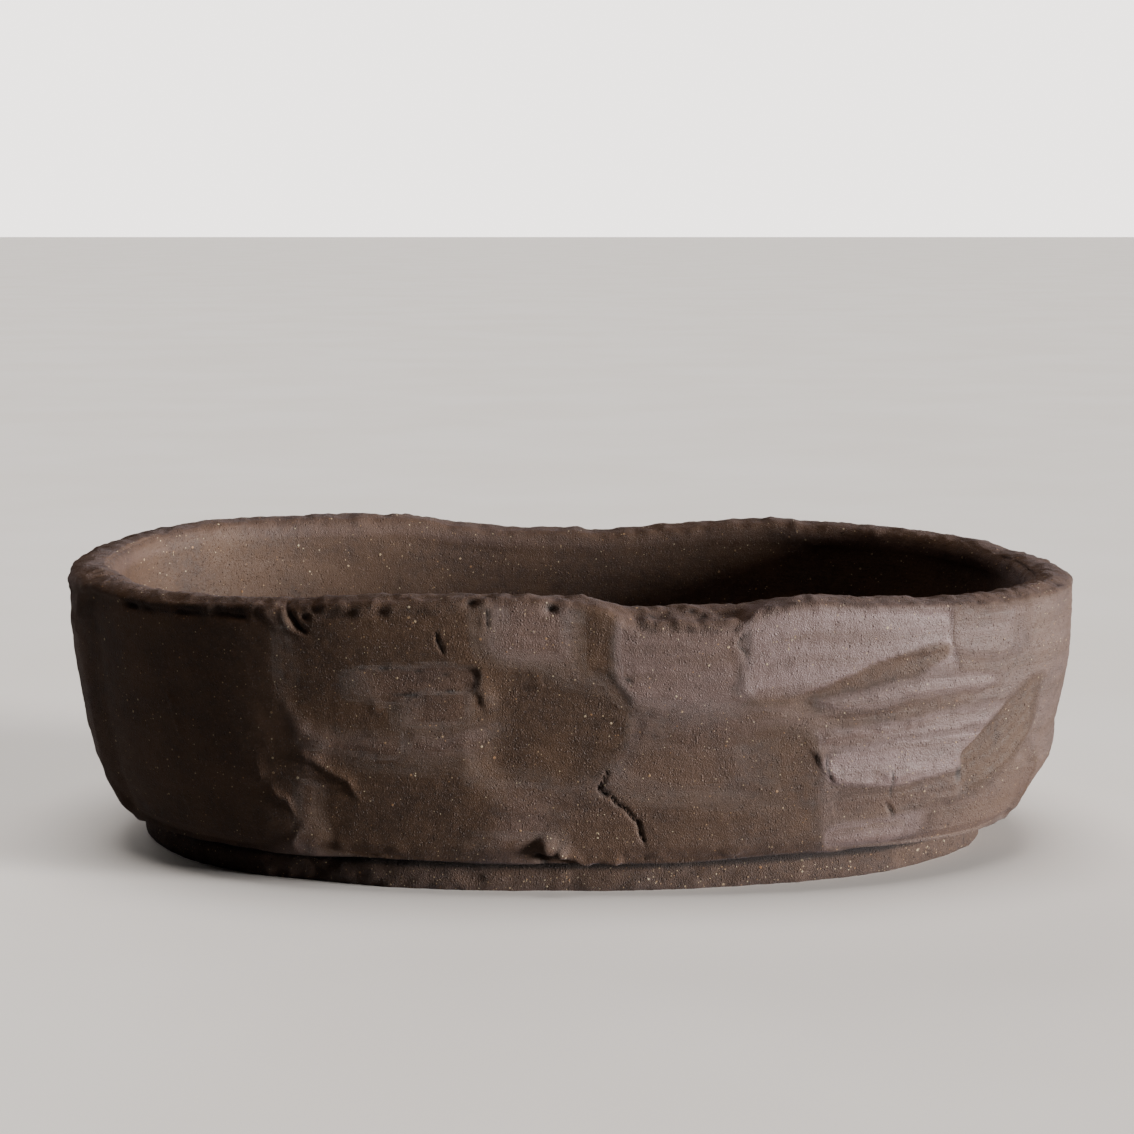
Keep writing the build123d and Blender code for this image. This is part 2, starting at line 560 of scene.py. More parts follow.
    def tear(self, left: float, right: float, low: float, high: float, rough: float, deep: float) -> None:
        """Breaks the skin into crumbs, with painted shade in the hollows under them.

        Args:
            left: Left end, from the front middle.
            right: Right end.
            low: Lower edge, above the table.
            high: Upper edge.
            rough: Height of the crumbs.
            deep: Depth of the hollow under them.
        """
        x = self.around - left + self.wander_x
        over = ease(x / 4) * ease((right - left - x) / 4)
        y = self.up + 0.6 * self.wander_y
        over = over * ease((y - low) / 1.0 + 0.3) * ease((high - y) / 1.0 + 0.3)
        crumbs = 0.7 * self.noise.field(self.around, self.up, 2.6) + self.crumbs
        self.height += over * (rough * crumbs - deep * self.ragged)
        self.torn = np.maximum(self.torn, over)
        # painted shade in the hollows under the crumbs
        self.crevice = np.maximum(self.crevice, over * np.clip(0.6 * deep - 0.2 * crumbs - 0.2, 0, 1))


# ---------------------------------------------------------------------------------------------
# The wall
# ---------------------------------------------------------------------------------------------


@dataclass
class ClayWall:
    """The upright wall: a hoop of clay scraped on the outside, with a rough, uneven rim."""

    plan_exponent: float = 2.45
    thick_at_ends: float = 13.5
    thick_at_sides: float = 11.0
    columns: int = 812
    front_share: float = 0.67
    outer_rows: int = 78
    edge_rows: int = 5
    top_rows: int = 8
    inner_rows: int = 19
    under_rows: int = 6
    edge_radius: float = 2.8
    seat_at_sides: float = 18.0
    seat_more_at_ends: float = 10.5
    seed: int = 11
    # Share of the wall's height, inset at the ends and at the sides
    outside: Profile = (
        (0.0, 20.0, 8.4), (0.07, 12.5, 5.5), (0.14, 9.8, 4.6), (0.24, 6.6, 3.5),
        (0.42, 4.2, 2.4), (0.62, 2.0, 1.1), (0.84, 1.0, 0.0), (1.0, 1.2, 0.2),
    )
    inside: Profile = (
        (0.0, 14.0, 8.0), (0.08, 8.0, 6.0), (0.2, 5.5, 4.5), (0.5, 2.0, 2.0), (0.8, 0.5, 0.5),
        (1.0, 0.0, 0.0),
    )
    # Height of the rim's outer edge along the front and of its crest along the back
    front_rim: Path = (
        (-140, 78.0), (-131, 77.0), (-123, 75.9), (-113, 75.1), (-78, 75.0), (-69, 75.3), (-59, 76.4),
        (-49, 77.1), (-36, 77.6), (-25, 78.0), (-11, 77.8), (4, 77.3), (9, 76.2), (12, 73.6), (16, 72.6),
        (36, 72.4), (41, 73.1), (46, 74.8), (52, 76.1), (61, 76.8), (72, 76.1), (86, 75.6), (98, 74.6),
        (109, 74.0), (124, 74.4), (140, 73.6),
    )
    back_rim: Path = (
        (-140, 78.0), (-131, 79.0), (-121, 80.0), (-109, 80.6), (-81, 80.4), (-52, 79.6), (-37, 77.5),
        (-22, 75.7), (0, 75.3), (8, 74.5), (21, 75.6), (36, 76.9), (50, 78.3), (65, 78.9), (87, 77.7),
        (107, 77.4), (112, 76.8), (125, 75.8), (132, 74.6), (140, 73.6),
    )
    # Height of the inner edge over the outer edge along the front
    inner_lift: Path = (
        (-140, 0.0), (-60, 0.6), (-30, -0.4), (8, -0.6), (14, 1.8), (28, 2.9), (40, 2.6), (48, 0.4),
        (140, 0.0),
    )
    # Height of the wall's lower edge along the front
    hem: Path = (
        (-140, 10.5), (-110, 9.4), (-60, 8.6), (0, 8.3), (28, 8.3), (38, 9.0), (50, 10.0), (62, 10.5),
        (76, 10.2), (92, 9.8), (112, 9.6), (140, 10.5),
    )

    def __post_init__(self) -> None:
        """Takes the wall's place from the frame."""
        low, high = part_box("wall")
        slab_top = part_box("base_slab")[1][2]
        self.half_x = (high[0] - low[0]) / 2 / MM
        self.half_y = (high[1] - low[1]) / 2 / MM
        self.floor = slab_top / MM
        plan = BluntOval(self.half_x, self.half_y, self.plan_exponent)
        self.plan = plan.walk(self.columns, self.front_share)
        self.girth = float(self.plan["girth"])

    def along_front(self, x: float) -> float:
        """Distance walked round the pot to a place x on the front."""
        front = self.plan["y"] < 0
        return float(np.interp(x, self.plan["x"][front], self.plan["walked"][front]))

    def rim_line(self, front: Path, back: Path) -> np.ndarray:
        """Blends a height along the front and one along the back into a height per column."""
        x, y, walked = self.plan["x"], self.plan["y"], self.plan["walked"]
        heights = np.where(y < 0, np.interp(x, *zip(*front)), np.interp(x, *zip(*back)))
        fine = np.linspace(-self.girth / 2, self.girth / 2, 1500, endpoint=False)
        values = np.interp(fine, walked, heights, period=self.girth)
        spread = np.exp(-0.5 * (np.arange(-12, 13) / 3.5) ** 2)
        wrapped = np.concatenate([values[-12:], values, values[:12]])
        values = np.convolve(wrapped, spread / spread.sum(), "valid")
        return np.interp(walked, fine, values, period=self.girth)

    def inset(self, profile: Profile, share: np.ndarray, nx: np.ndarray | None = None) -> np.ndarray:
        """Inset of a wall profile at shares of the height, blended from the sides to the ends.

        Args:
            profile: Rows of share of the height, inset at the ends and inset at the sides.
            share: Share of the height of each point.
            nx: How far each point faces an end, that of the wall's own columns if left out.

        Returns:
            The inset of each point.
        """
        shares, ends, sides = (np.array(row) for row in zip(*profile))
        toward_end = (self.plan["nx"] if nx is None else nx) ** 2
        at_end, at_side = np.interp(share, shares, ends), np.interp(share, shares, sides)
        return toward_end * at_end + (1 - toward_end) * at_side

    def thickness(self, nx: np.ndarray) -> np.ndarray:
        """Thickness of the wall where it faces an end by nx."""
        return nx**2 * (self.thick_at_ends - self.thick_at_sides) + self.thick_at_sides

    def section(self) -> tuple[np.ndarray, np.ndarray, np.ndarray]:
        """Works out the plain wall, ring by ring, from its hem up, over the rim and down the inside.

        Returns:
            How far out each point lies from the outside of the rim, its height, and how far up the
            laid-out wall it is.
        """
        rim = self.rim_line(self.front_rim, self.back_rim)
        lift = self.rim_line(self.inner_lift, ((-140.0, 0.0), (140.0, 0.0)))
        hem = self.rim_line(self.hem, ((-140.0, 10.5), (0.0, 9.0), (140.0, 10.5)))
        tall = rim.max() - self.floor
        thick = self.thickness(self.plan["nx"])
        radius = self.edge_radius
        outs, heights, ups = [], [], []

        def lay(out: np.ndarray, height: np.ndarray, up: float) -> None:
            """Adds one ring."""
            outs.append(np.broadcast_to(out, rim.shape).copy())
            heights.append(np.broadcast_to(height, rim.shape).copy())
            ups.append(up)

        top = rim - radius
        for row in range(self.outer_rows):
            share = row / (self.outer_rows - 1)
            z = hem + share * (top - hem)
            out = -self.inset(self.outside, (z - self.floor) / tall)
            lay(out, z, hem.mean() + share * (LAID_TOP - hem.mean()))
        brink = -self.inset(self.outside, (top - self.floor) / tall)
        for row in range(1, self.edge_rows + 1):
            turn = row / self.edge_rows * math.pi / 2
            lay(brink - radius * (1 - math.cos(turn)), top + radius * math.sin(turn),
                LAID_TOP + radius * turn)
        flat = thick - 2 * radius
        base_up = ups[-1]
        for row in range(1, self.top_rows + 1):
            share = row / self.top_rows
            crown = 0.5 * math.sin(math.pi * share)
            lay(brink - radius - flat * share, rim + lift * share + crown, base_up + 6.0 * share)
        base_up, inner_rim = ups[-1], rim + lift
        for row in range(1, self.edge_rows + 1):
            turn = row / self.edge_rows * math.pi / 2
            lay(-thick + radius * (1 - math.sin(turn)), inner_rim - radius * (1 - math.cos(turn)),
                base_up + radius * turn)
        base_up = ups[-1]
        bottom = self.floor - 0.4
        for row in range(1, self.inner_rows + 1):
            share = (row / self.inner_rows) ** 1.35
            z = inner_rim - radius + share * (bottom - inner_rim + radius)
            inner = self.inset(self.inside, np.clip((z - self.floor) / tall, 0, 1))
            lay(-thick - inner, z, base_up + share * 66.0)
        base_up = ups[-1]
        inner_foot, hem_out = outs[-1], outs[0]
        seat = -self.seat_at_sides - self.plan["nx"] ** 2 * self.seat_more_at_ends
        for row in range(1, self.under_rows + 1):
            share = row / (self.under_rows + 1)
            if share < 0.5:
                out, z = inner_foot + (seat - inner_foot) * share * 2, np.full_like(rim, bottom)
            else:
                out = seat + (hem_out - seat) * (share * 2 - 1)
                z = bottom + (hem + 0.9 - bottom) * min(1.0, (share * 2 - 1) * 4)
            lay(out, z, base_up + 3.0 * row)
        return np.array(outs), np.array(heights), np.array(ups)

    def build(self) -> bpy.types.Object:
        """Raises the wall, cuts its marks and returns the finished piece."""
        out, height, up = self.section()
        rows = len(up)
        piece = raise_rings("clay_wall", self.columns, rows)
        row, column = ring_index(piece, self.columns)
        close_rings(piece)
        x = self.plan["x"] + self.plan["nx"] * out
        y = self.plan["y"] + self.plan["ny"] * out
        places = np.stack([x, y, height], axis=-1)
        normal = self.normals(places)
        relief, cut, over_rim = self.mark(up)
        places = places + normal * (cut * relief.height)[..., None]
        places[..., 2] += over_rim
        shuffled = places[row, column] * MM
        write_places(piece, shuffled)
        face_outwards(piece)
        paint(piece, grain=relief.grain[row, column] * MM, burnish=relief.burnish[row, column],
              crevice=relief.crevice[row, column], torn=relief.torn[row, column])
        return piece

    @staticmethod
    def normals(places: np.ndarray) -> np.ndarray:
        """Outward normals of a ring grid that closes on itself both ways."""
        across = np.roll(places, -1, axis=1) - np.roll(places, 1, axis=1)
        along = np.roll(places, -1, axis=0) - np.roll(places, 1, axis=0)
        normal = np.cross(across, along)
        return normal / np.maximum(np.linalg.norm(normal, axis=-1, keepdims=True), 1e-9)

    def mark(self, up: np.ndarray) -> tuple[Relief, np.ndarray, np.ndarray]:
        """Cuts all marks, from the broad passes to the small tears.

        Args:
            up: Distance up the laid-out wall of each ring.

        Returns:
            The relief, how strongly each ring takes it, and the waver of the rim's height.
        """
        around, above = np.meshgrid(self.plan["walked"], up)
        relief = Relief(around, above, self.girth, self.seed)
        relief.ready_lines()
        self.scrape_all_round(relief)
        marks = FrontMarks(self)
        marks.cut(relief)
        rim_start, rim_end = 72.5, 90.0
        on_rim = ease((above - rim_start) / 3.0) * ease((rim_end - above) / 5.0)
        lumps = 0.14 * relief.noise.field(around, above, 6.0) + 0.18 * relief.noise.field(around, above, 2.4)
        lumps += 0.17 * relief.noise.field(around, above, 1.3)
        relief.height = relief.height * (1 - 0.6 * on_rim) + on_rim * lumps
        relief.torn = np.maximum(relief.torn, 0.4 * on_rim)
        relief.burnish *= 1 - 0.6 * on_rim
        inside = above > rim_end
        fingers = 0.55 * relief.noise.field(around, above, 22.0, 15.0)
        fingers += 0.12 * relief.noise.field(around, above, 9.0, 3.0)
        relief.height = np.where(inside, fingers, relief.height)
        # Painted shade: the inside gets almost no rubbed colour, so it reads darker
        relief.burnish[inside] = 0.05
        cut = np.where(above > 150.0, 0.3, 1.0)
        cut[0] = 0.8
        # Painted shade on the wall's underside, where its overhang shades the joint with the slab
        under = len(up) - self.under_rows
        relief.crevice[under:] = 0.95
        grit = relief.noise.field(around, above, 1.6)
        relief.height += 0.03 * grit * np.where(inside, 0.5, 1.0)
        waver = 0.2 * relief.noise.field(around, above * 0 + 1.0, 13.0, 50.0) * on_rim
        return relief, cut, waver

    def scrape_all_round(self, relief: Relief) -> None:
        """Draws the ordinary passes that cover the sides and the back."""
        draws = np.random.default_rng(self.seed + 5)
        front_half = self.girth * 0.235
        for _ in range(150):
            middle = draws.uniform(-self.girth / 2, self.girth / 2)
            length, tall = draws.uniform(28, 75), draws.uniform(9, 22)
            low = draws.uniform(4, 72 - tall * 0.5)
            heading = Lip.RIGHT if draws.random() < 0.6 else Lip.LEFT
            burr = draws.uniform(0.1, 0.7) if draws.random() < 0.6 else 0.0
            quiet = 0.4 if abs(middle) < front_half else 1.0
            ends = (10.0, 4.0) if heading is Lip.RIGHT else (4.0, 10.0)
            relief.scrape(Scrape(
                middle - length / 2, middle + length / 2, low, low + tall, rise=draws.uniform(-4, 4),
                tilt=draws.normal(0, 0.5) * quiet, lean=draws.normal(0, 0.3) * quiet,
                sink=draws.uniform(0.05, 0.4) * quiet, hollow=draws.uniform(0, 0.35) * quiet,
                burr=burr * quiet, lip=heading, soft=(*ends, 2.5, 2.0),
                lines=draws.uniform(0.02, 0.08), burnish=draws.uniform(0.1, 0.35),
            ))


@dataclass
class FrontMarks:
    """The marks that make up the face of the pot, in the order they were made."""

    wall: ClayWall

    def place(self, x: float, z: float) -> tuple[float, float]:
        """Turns a place on the front into a distance round the pot and up the laid-out wall."""
        wall = self.wall
        hem = float(np.interp(x, *zip(*wall.hem)))
        top = float(np.interp(x, *zip(*wall.front_rim))) - wall.edge_radius
        share = (z - hem) / (top - hem)
        turned = float(np.interp(x, wall.plan["x"][wall.plan["y"] < 0], wall.plan["nx"][wall.plan["y"] < 0]))
        shares, at_ends, at_sides = zip(*wall.outside)
        end_inset, side_inset = np.interp(share, shares, at_ends), np.interp(share, shares, at_sides)
        x += turned * (turned**2 * end_inset + (1 - turned**2) * side_inset)
        up = LAID_HEM + share * (LAID_TOP - LAID_HEM) if share < 1 else LAID_TOP + (z - top) * 1.4
        return wall.along_front(x), up

    def line(self, *points: tuple[float, float]) -> Path:
        """Turns the points of a line on the front."""
        return tuple(self.place(x, z) for x, z in points)

    def patch(self, left: float, right: float, low: float, high: float, **shape: object) -> Scrape:
        """A pass of the tool between two places x on the front."""
        return Scrape(self.wall.along_front(left), self.wall.along_front(right), low, high, **shape)

    def cut(self, relief: Relief) -> None:
        """Cuts the broad planes, then the smears, cracks and tears."""
        self.planes(relief)
        self.smears(relief)
        self.cracks(relief)
        self.rim_tears(relief)

    def planes(self, relief: Relief) -> None:
        """The broad planes, from left to right."""
        # Besides burnish, the burnish values paint highlight and shade: high on facets turned to the light on
        # the right, none on those turned away
        for mark in (
            self.patch(-134, -66, 6, 80, tilt=-2.2, sink=1.5, soft=(14, 9, 4, 4), burnish=0.05, lines=0.05),
            self.patch(-76, 2, 40, 82, tilt=-1.4, sink=0.2, lean=-0.3, soft=(9, 14, 8, 4), burnish=0.0),
            self.patch(-76, -8, 5, 46, tilt=-1.8, lean=-0.8, sink=0.3, hollow=0.3, soft=(14, 20, 4, 12),
                       burnish=0.0),
            self.patch(-27, 12, 24, 60, tilt=-1.6, sink=0.5, hollow=0.3, soft=(13, 4, 12, 8), burnish=0.0),
            self.patch(-25, 0, 57, 80, tilt=0.7, sink=0.1, soft=(9, 5, 7, 4), burnish=0.4, blunt=4),
            self.patch(-4, 10, 53, 78, tilt=-0.9, sink=-0.1, soft=(5, 1.5, 6, 4), burnish=0.0, blunt=5),
            self.patch(-16, 66, 4, 38, tilt=-0.6, sink=0.3, soft=(18, 6, 4, 12), burnish=0.08, lines=0.06),
            self.patch(8, 64, 27, 53, rise=-5, tilt=0.5, sink=0.3, soft=(8, 5, 8, 10), burnish=0.15,
                       lines=0.09),
            self.patch(6, 50, 48, 80, tilt=1.4, lean=0.3, sink=0.1, soft=(3.5, 4, 7, 3), burnish=0.55,
                       lines=0.04, blunt=6),
            self.patch(84, 142, 26, 82, tilt=1.0, sink=1.3, soft=(12, 8, 8, 4), burnish=0.35, lines=0.05),
            self.patch(41, 101, 50, 84, rise=3, tilt=2.0, lean=0.5, sink=0.85, soft=(6, 3, 7, 3), burnish=1.0,
                       blunt=7),
            self.patch(62, 130, 5, 40, tilt=1.0, lean=-0.4, sink=0.9, soft=(8, 8, 4, 8), burnish=0.25),
        ):
            relief.scrape(mark)

    def smears(self, relief: Relief) -> None:
        """Narrow passes and pushed-on clay, mostly on the right."""
        lift = {"burr": 0.25, "lip": Lip.LEFT}
        # The high burnish values on the right-hand strokes also paint highlight on their lit faces
        for mark in (
            self.patch(55, 99, 44, 54.5, rise=13, tilt=-0.5, sink=0.8, hollow=0.3, soft=(8, 4, 2.5, 1.5),
                       burnish=0.1, blunt=2.2),
            self.patch(60, 114, 47, 54, rise=5, tilt=0.6, sink=0.0, soft=(6, 10, 2, 2), lines=0.12,
                       burnish=0.75),
            self.patch(62, 104, 43.5, 48.5, rise=4, tilt=-0.3, sink=0.6, soft=(6, 10, 2, 2), lines=0.1,
                       burnish=0.2),
            self.patch(57, 118, 36, 44.5, rise=6, tilt=0.5, sink=0.0, soft=(4, 12, 2, 2), lines=0.13,
                       burnish=0.8),
            self.patch(64, 116, 25, 40, rise=3, tilt=0.7, sink=-0.12, soft=(2.4, 12, 2, 2), burnish=1.0,
                       **lift),
            self.patch(66, 108, 16, 27, rise=4, tilt=0.2, sink=0.4, soft=(2, 10, 2, 2.5), burnish=0.2),
            self.patch(63, 98, 9, 18, rise=3, tilt=0.5, sink=-0.1, soft=(2, 10, 2, 2), burnish=0.8, burr=0.2),
            self.patch(40, 65, 20, 48, tilt=-0.5, sink=0.2, soft=(14, 2, 8, 6), burnish=0.05),
            self.patch(97, 122, 58, 77, tilt=0.5, sink=0.85, rise=2, soft=(3, 9, 4, 3), burnish=0.55),
            self.patch(98, 128, 14, 40, rise=22, tilt=-0.8, sink=0.9, hollow=0.2, soft=(3, 8, 4, 3),
                       burnish=0.05, blunt=2.4),
            self.patch(-60, -21, 52, 60.5, rise=-1, tilt=0.3, sink=0.3, soft=(14, 3, 1.2, 1.0), lines=0.1,
                       burnish=0.15, burr=0.1, lip=Lip.RIGHT),
            self.patch(-46, -22, 45, 53.6, rise=-0.5, tilt=0.2, sink=0.2, soft=(10, 3, 2, 0.9), lines=0.12,
                       burnish=0.15),
        ):
            relief.scrape(mark)
        for path, drop, blend in (
            (((8.5, 77), (7.1, 72), (6.2, 66), (3.3, 59.6), (5, 56.5), (9.6, 53.7), (15.9, 49.7)),
             -0.15, 14.0),
            (((42.9, 76), (42.0, 66), (43.5, 59), (46, 53.5), (51, 49.5), (57.3, 45.7)), -0.2, 8.0),
        ):
            relief.step(self.line(*path), drop, blend)
        for path, tall, width in (
            (((-32, 58.9), (-27, 58.2), (-24, 56.4), (-22.4, 53.6), (-21.6, 50.6), (-19.2, 48.0),
              (-16.4, 46.6)), 0.7, 1.1),
            (((72.4, 60.6), (80, 61.4), (89, 61.8), (98, 63.2)), 0.5, 0.8),
            (((60, 49), (72, 50.6), (84, 51.6), (96, 52.6)), 0.3, 0.8),
            (((58, 40.4), (64, 41.2), (78, 43.0), (95, 44.4)), 0.45, 0.8),
            (((58, 40.4), (62, 37.5), (64, 33.5), (67, 30.5), (72, 29), (84, 30), (92, 31.5)), 0.4, 0.8),
            (((-105, 50), (-103.5, 43.4), (-101.2, 38)), 0.6, 0.7),
            (((-103, 31), (-101.5, 25), (-100.5, 20)), 0.4, 0.7),
            (((-83, 36), (-80.5, 33), (-79.8, 29.5), (-76, 26), (-72.5, 24), (-70, 19)), 0.55, 0.7),
            (((-73, 37), (-66, 35.5), (-61, 32.2), (-56.7, 30), (-54.5, 27.5), (-52.5, 24.4)), 0.5, 0.7),
            (((-4, 12.8), (-1.5, 11.2), (1.8, 9.6), (9.1, 9.0), (14, 9.6)), 0.8, 1.0),
            (((-70, 11), (-50, 10.4), (-36, 10.2), (-24, 10.6)), 0.4, 1.0),
            (((12, 11), (24, 10.2), (34, 11), (46, 12.2)), 0.5, 1.0),
        ):
            relief.ridge(self.line(*path), tall, width)
        relief.shave(self.place(128, 12), (26, 10), 4.3)
        relief.shave(self.place(136, 52), (24, 26), -1.6)
        relief.shave(self.place(-122, 14), (22, 12), 0.4)

    def cracks(self, relief: Relief) -> None:
        """Splits in the clay."""
        for path, width, depth, lip in (
            (((8.8, 34), (8.4, 31.8), (6.9, 29.4), (7.8, 28.4), (10.2, 27.5), (11.2, 25.4), (13.4, 24.0),
              (15.0, 22.2), (16.7, 20.6), (17.2, 17.4), (18.3, 14.4), (18.4, 11.4), (19.4, 8)),
             0.72, 1.2, 0.0),
            (((-71.6, 76.3), (-71.2, 74.4), (-70.2, 72.3), (-68, 70), (-65.2, 68)), 1.3, 1.9, 0.35),
            (((-33.2, 69.4), (-33.6, 67.6), (-32.2, 65.6), (-31.6, 63.4)), 0.65, 0.6, 0.1),
            (((42.6, 69), (41.6, 67), (41.5, 65.6), (42.8, 64), (43.2, 62.5)), 0.6, 0.6, 0.1),
            (((-57, 59.9), (-44, 59.6), (-34, 59.0), (-28, 58.4)), 0.5, 0.2, 0.0),
            (((-45, 53.0), (-35, 53.7), (-26, 53.9)), 0.5, 0.2, 0.0),
            (((80.2, 23), (82.2, 20.6), (82, 18)), 0.9, 0.9, 0.1),
            (((81.6, 32), (81.9, 28), (81.6, 24.6)), 0.7, 0.35, 0.1),
            (((64, 37), (64.8, 34), (66, 30)), 0.7, 0.5, 0.0),
            (((-20.6, 75.5), (-21, 73), (-19.8, 70.5)), 0.7, 0.35, 0.1),
        ):
            relief.crack(Crack(self.line(*path), width, depth, lip))

    def rim_tears(self, relief: Relief) -> None:
        """Crumbled clay under the rim, small holes and the squeezed lump by the foot."""
        for x0, x1, z0, z1, rough, deep in (
            (-118, -73, 71.2, 74.2, 0.5, 1.1),
            (-62, -24, 71.5, 77.0, 0.28, 0.1),
            (11, 45, 70.6, 76.5, 0.42, 0.3),
            (47, 110, 73.5, 77.0, 0.2, 0.0),
        ):
            left, low = self.place(x0, z0)
            right, high = self.place(x1, z1)
            relief.tear(left, right, min(low, high), max(low, high), rough, deep)
        for at, size, depth, turn in (
            ((-64, 74.3), (1.8, 1.3), 2.4, 0), ((-66.5, 72.6), (1.2, 0.9), 1.4, 0),
            ((-24.8, 76.6), (1.5, 1.1), 2.2, 20), ((-21.4, 76.4), (1.1, 0.9), -0.9, 0),
            ((-5.2, 75.4), (1.5, 1.2), 1.8, 0), ((-7.7, 10.9), (1.5, 1.1), 3.0, 0),
            ((-6.3, 14.0), (2.4, 2.3), -2.2, 20), ((-3.2, 12.0), (1.7, 1.3), -1.2, 0),
            ((100.6, 29), (1.5, 2.2), 0.6, 15),
            ((-97, 73.6), (3.4, 0.9), 0.6, 8), ((-84, 73.4), (2.2, 1.2), 0.8, -6),
            ((20, 73.4), (0.8, 0.6), 0.9, 0), ((30, 74.6), (1.1, 0.8), 1.4, 0),
            ((33, 73.4), (0.7, 0.6), 0.9, 0),
            ((-49, 50), (1.6, 1.3), -0.25, 0), ((14, 57.5), (1.0, 0.7), 0.25, 0),
        ):
            relief.pit(Pit(self.place(*at), size, depth, turn))


# ---------------------------------------------------------------------------------------------
# The slab and the coil
# ---------------------------------------------------------------------------------------------


@dataclass
class ClaySlab:
    """The slab that is floor and foot, with drain holes bevelled underneath and tie-wire holes."""

    exponent: float = 2.1
    columns: int = 480
    front_share: float = 0.6
    under_rows: int = 10
    side_rows: int = 9
    floor_rows: int = 34
    drain_spacing: float = 124.0
    drain_radius: float = 11.0
    bevel_width: float = 6.0
    bevel_depth: float = 4.0
    edge_height: float = 6.2
    wire_radius: float = 2.5
    wire_spacing: tuple[float, float] = (60.0, 56.0)
    seed: int = 23

    def rings(self) -> list[tuple[float, float, float]]:
        """Share of the plan, inset and height of each ring, from the middle below to the middle above."""
        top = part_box("base_slab")[1][2] / MM
        rings = [(0.02 + 0.94 * row / self.under_rows, 0.0, 0.0) for row in range(self.under_rows + 1)]
        for row in range(self.side_rows):
            turn = row / (self.side_rows - 1)
            inset = 1.3 * (1 - math.sin(math.pi * min(1.0, max(0.0, 0.06 + 0.9 * turn)))) ** 2
            rings.append((1.0, inset, self.edge_height * turn))
        for row in range(self.floor_rows + 1):
            share = 0.975 - 0.955 * row / self.floor_rows
            rise = float(ease(np.array((1 - share) / 0.07)))
            rings.append((share, 0.0, self.edge_height + (top - self.edge_height) * rise))
        return rings

    def build(self) -> bpy.types.Object:
        """Lays the slab, roughens it and cuts its holes."""
        low, high = (np.array(corner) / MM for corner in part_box("base_slab"))
        half_x, half_y = (high[0] - low[0]) / 2, (high[1] - low[1]) / 2
        shift = (high[0] + low[0]) / 2
        plan = BluntOval(half_x, half_y, self.exponent).walk(self.columns, self.front_share)
        rings = self.rings()
        piece = raise_rings("clay_slab", self.columns, len(rings))
        row, column = ring_index(piece, self.columns)
        cap_rings(piece)
        share, inset, height = (np.array(part)[:, None] for part in zip(*rings))
        walked, up = np.meshgrid(plan["walked"], np.arange(len(rings)) * 2.0)
        noise = ClayNoise(float(plan["girth"]), self.seed)
        ragged = 0.45 * noise.field(walked, up * 0, 15.0) + 0.16 * noise.field(walked, up, 3.0, 5.0)
        ragged += 0.12 * noise.field(walked, up, 1.6, 3.0)
        x = plan["x"] * share - plan["nx"] * inset + plan["nx"] * ragged * share + shift
        y = plan["y"] * share - plan["ny"] * inset + plan["ny"] * ragged * share
        above = np.broadcast_to(height, x.shape).copy()
        on_floor = (share < 0.9) & (height > 1.0)
        above += on_floor * share * (0.22 * noise.field(walked, up, 30.0, 18.0) - 0.25)
        places = np.stack([x, y, above], axis=-1)[row, column]
        write_places(piece, places * MM)
        face_outwards(piece)
        self.cut_holes(piece, high[2])
        points = read_places(piece)
        reach = np.hypot((points[:, 0] / MM - shift) / half_x, points[:, 1] / MM / half_y)
        rough = 0.35 + 0.35 * (reach > 0.93)
        # Painted shade along the slab's top edge, in the gap under the wall's overhang
        joint_shade = ease((points[:, 2] / MM - self.edge_height + 0.4) / 0.5) * ease((reach - 0.84) / 0.04)
        blank = np.zeros(len(points))
        paint(piece, grain=points[:, 2] + 0.25 * points[:, 1], burnish=blank + 0.15,
              crevice=0.9 * joint_shade, torn=rough)
        return piece

    @staticmethod
    def drill(name: str, x: float, y: float, radius: float, top: float, sides: int) -> bpy.types.Object:
        """Makes a cylinder that reaches through the slab, to cut a hole with."""
        deselect_all()
        bpy.ops.mesh.primitive_cylinder_add(
            vertices=sides, radius=radius * MM, depth=3 * top * MM, location=(x, y, top / 2 * MM))
        return name_piece(name)

    def cut_holes(self, piece: bpy.types.Object, top: float) -> None:
        """Cuts the drain holes with their bevels and the four wire holes."""
        cutters = []
        for sign in (-1, 1):
            x = sign * self.drain_spacing / 2 * MM
            cutters.append(self.drill("drain_cutter", x, 0, self.drain_radius, top, 56))
            slope = self.bevel_width / self.bevel_depth
            extra = 1.0
            deselect_all()
            bpy.ops.mesh.primitive_cone_add(
                vertices=56, radius1=(self.drain_radius + self.bevel_width + slope * extra) * MM,
                radius2=self.drain_radius * MM * 0.98, depth=(self.bevel_depth + extra) * MM,
                location=(x, 0, (self.bevel_depth - extra) / 2 * MM))
            cutters.append(name_piece("bevel_cutter"))
            for side in (-1, 1):
                along, across = (gap / 2 * MM for gap in self.wire_spacing)
                cutters.append(
                    self.drill("wire_cutter", sign * along, side * across, self.wire_radius, top, 28))
        for cutter in cutters:
            apply_place(cutter)
            cut = piece.modifiers.new("cut", "BOOLEAN")
            cut.operation, cut.solver, cut.object = "DIFFERENCE", "EXACT", cutter
            apply_modifiers(piece)
            bpy.data.objects.remove(cutter, do_unlink=True)
        activate(piece)
        bpy.ops.object.shade_smooth_by_angle(angle=math.radians(38))


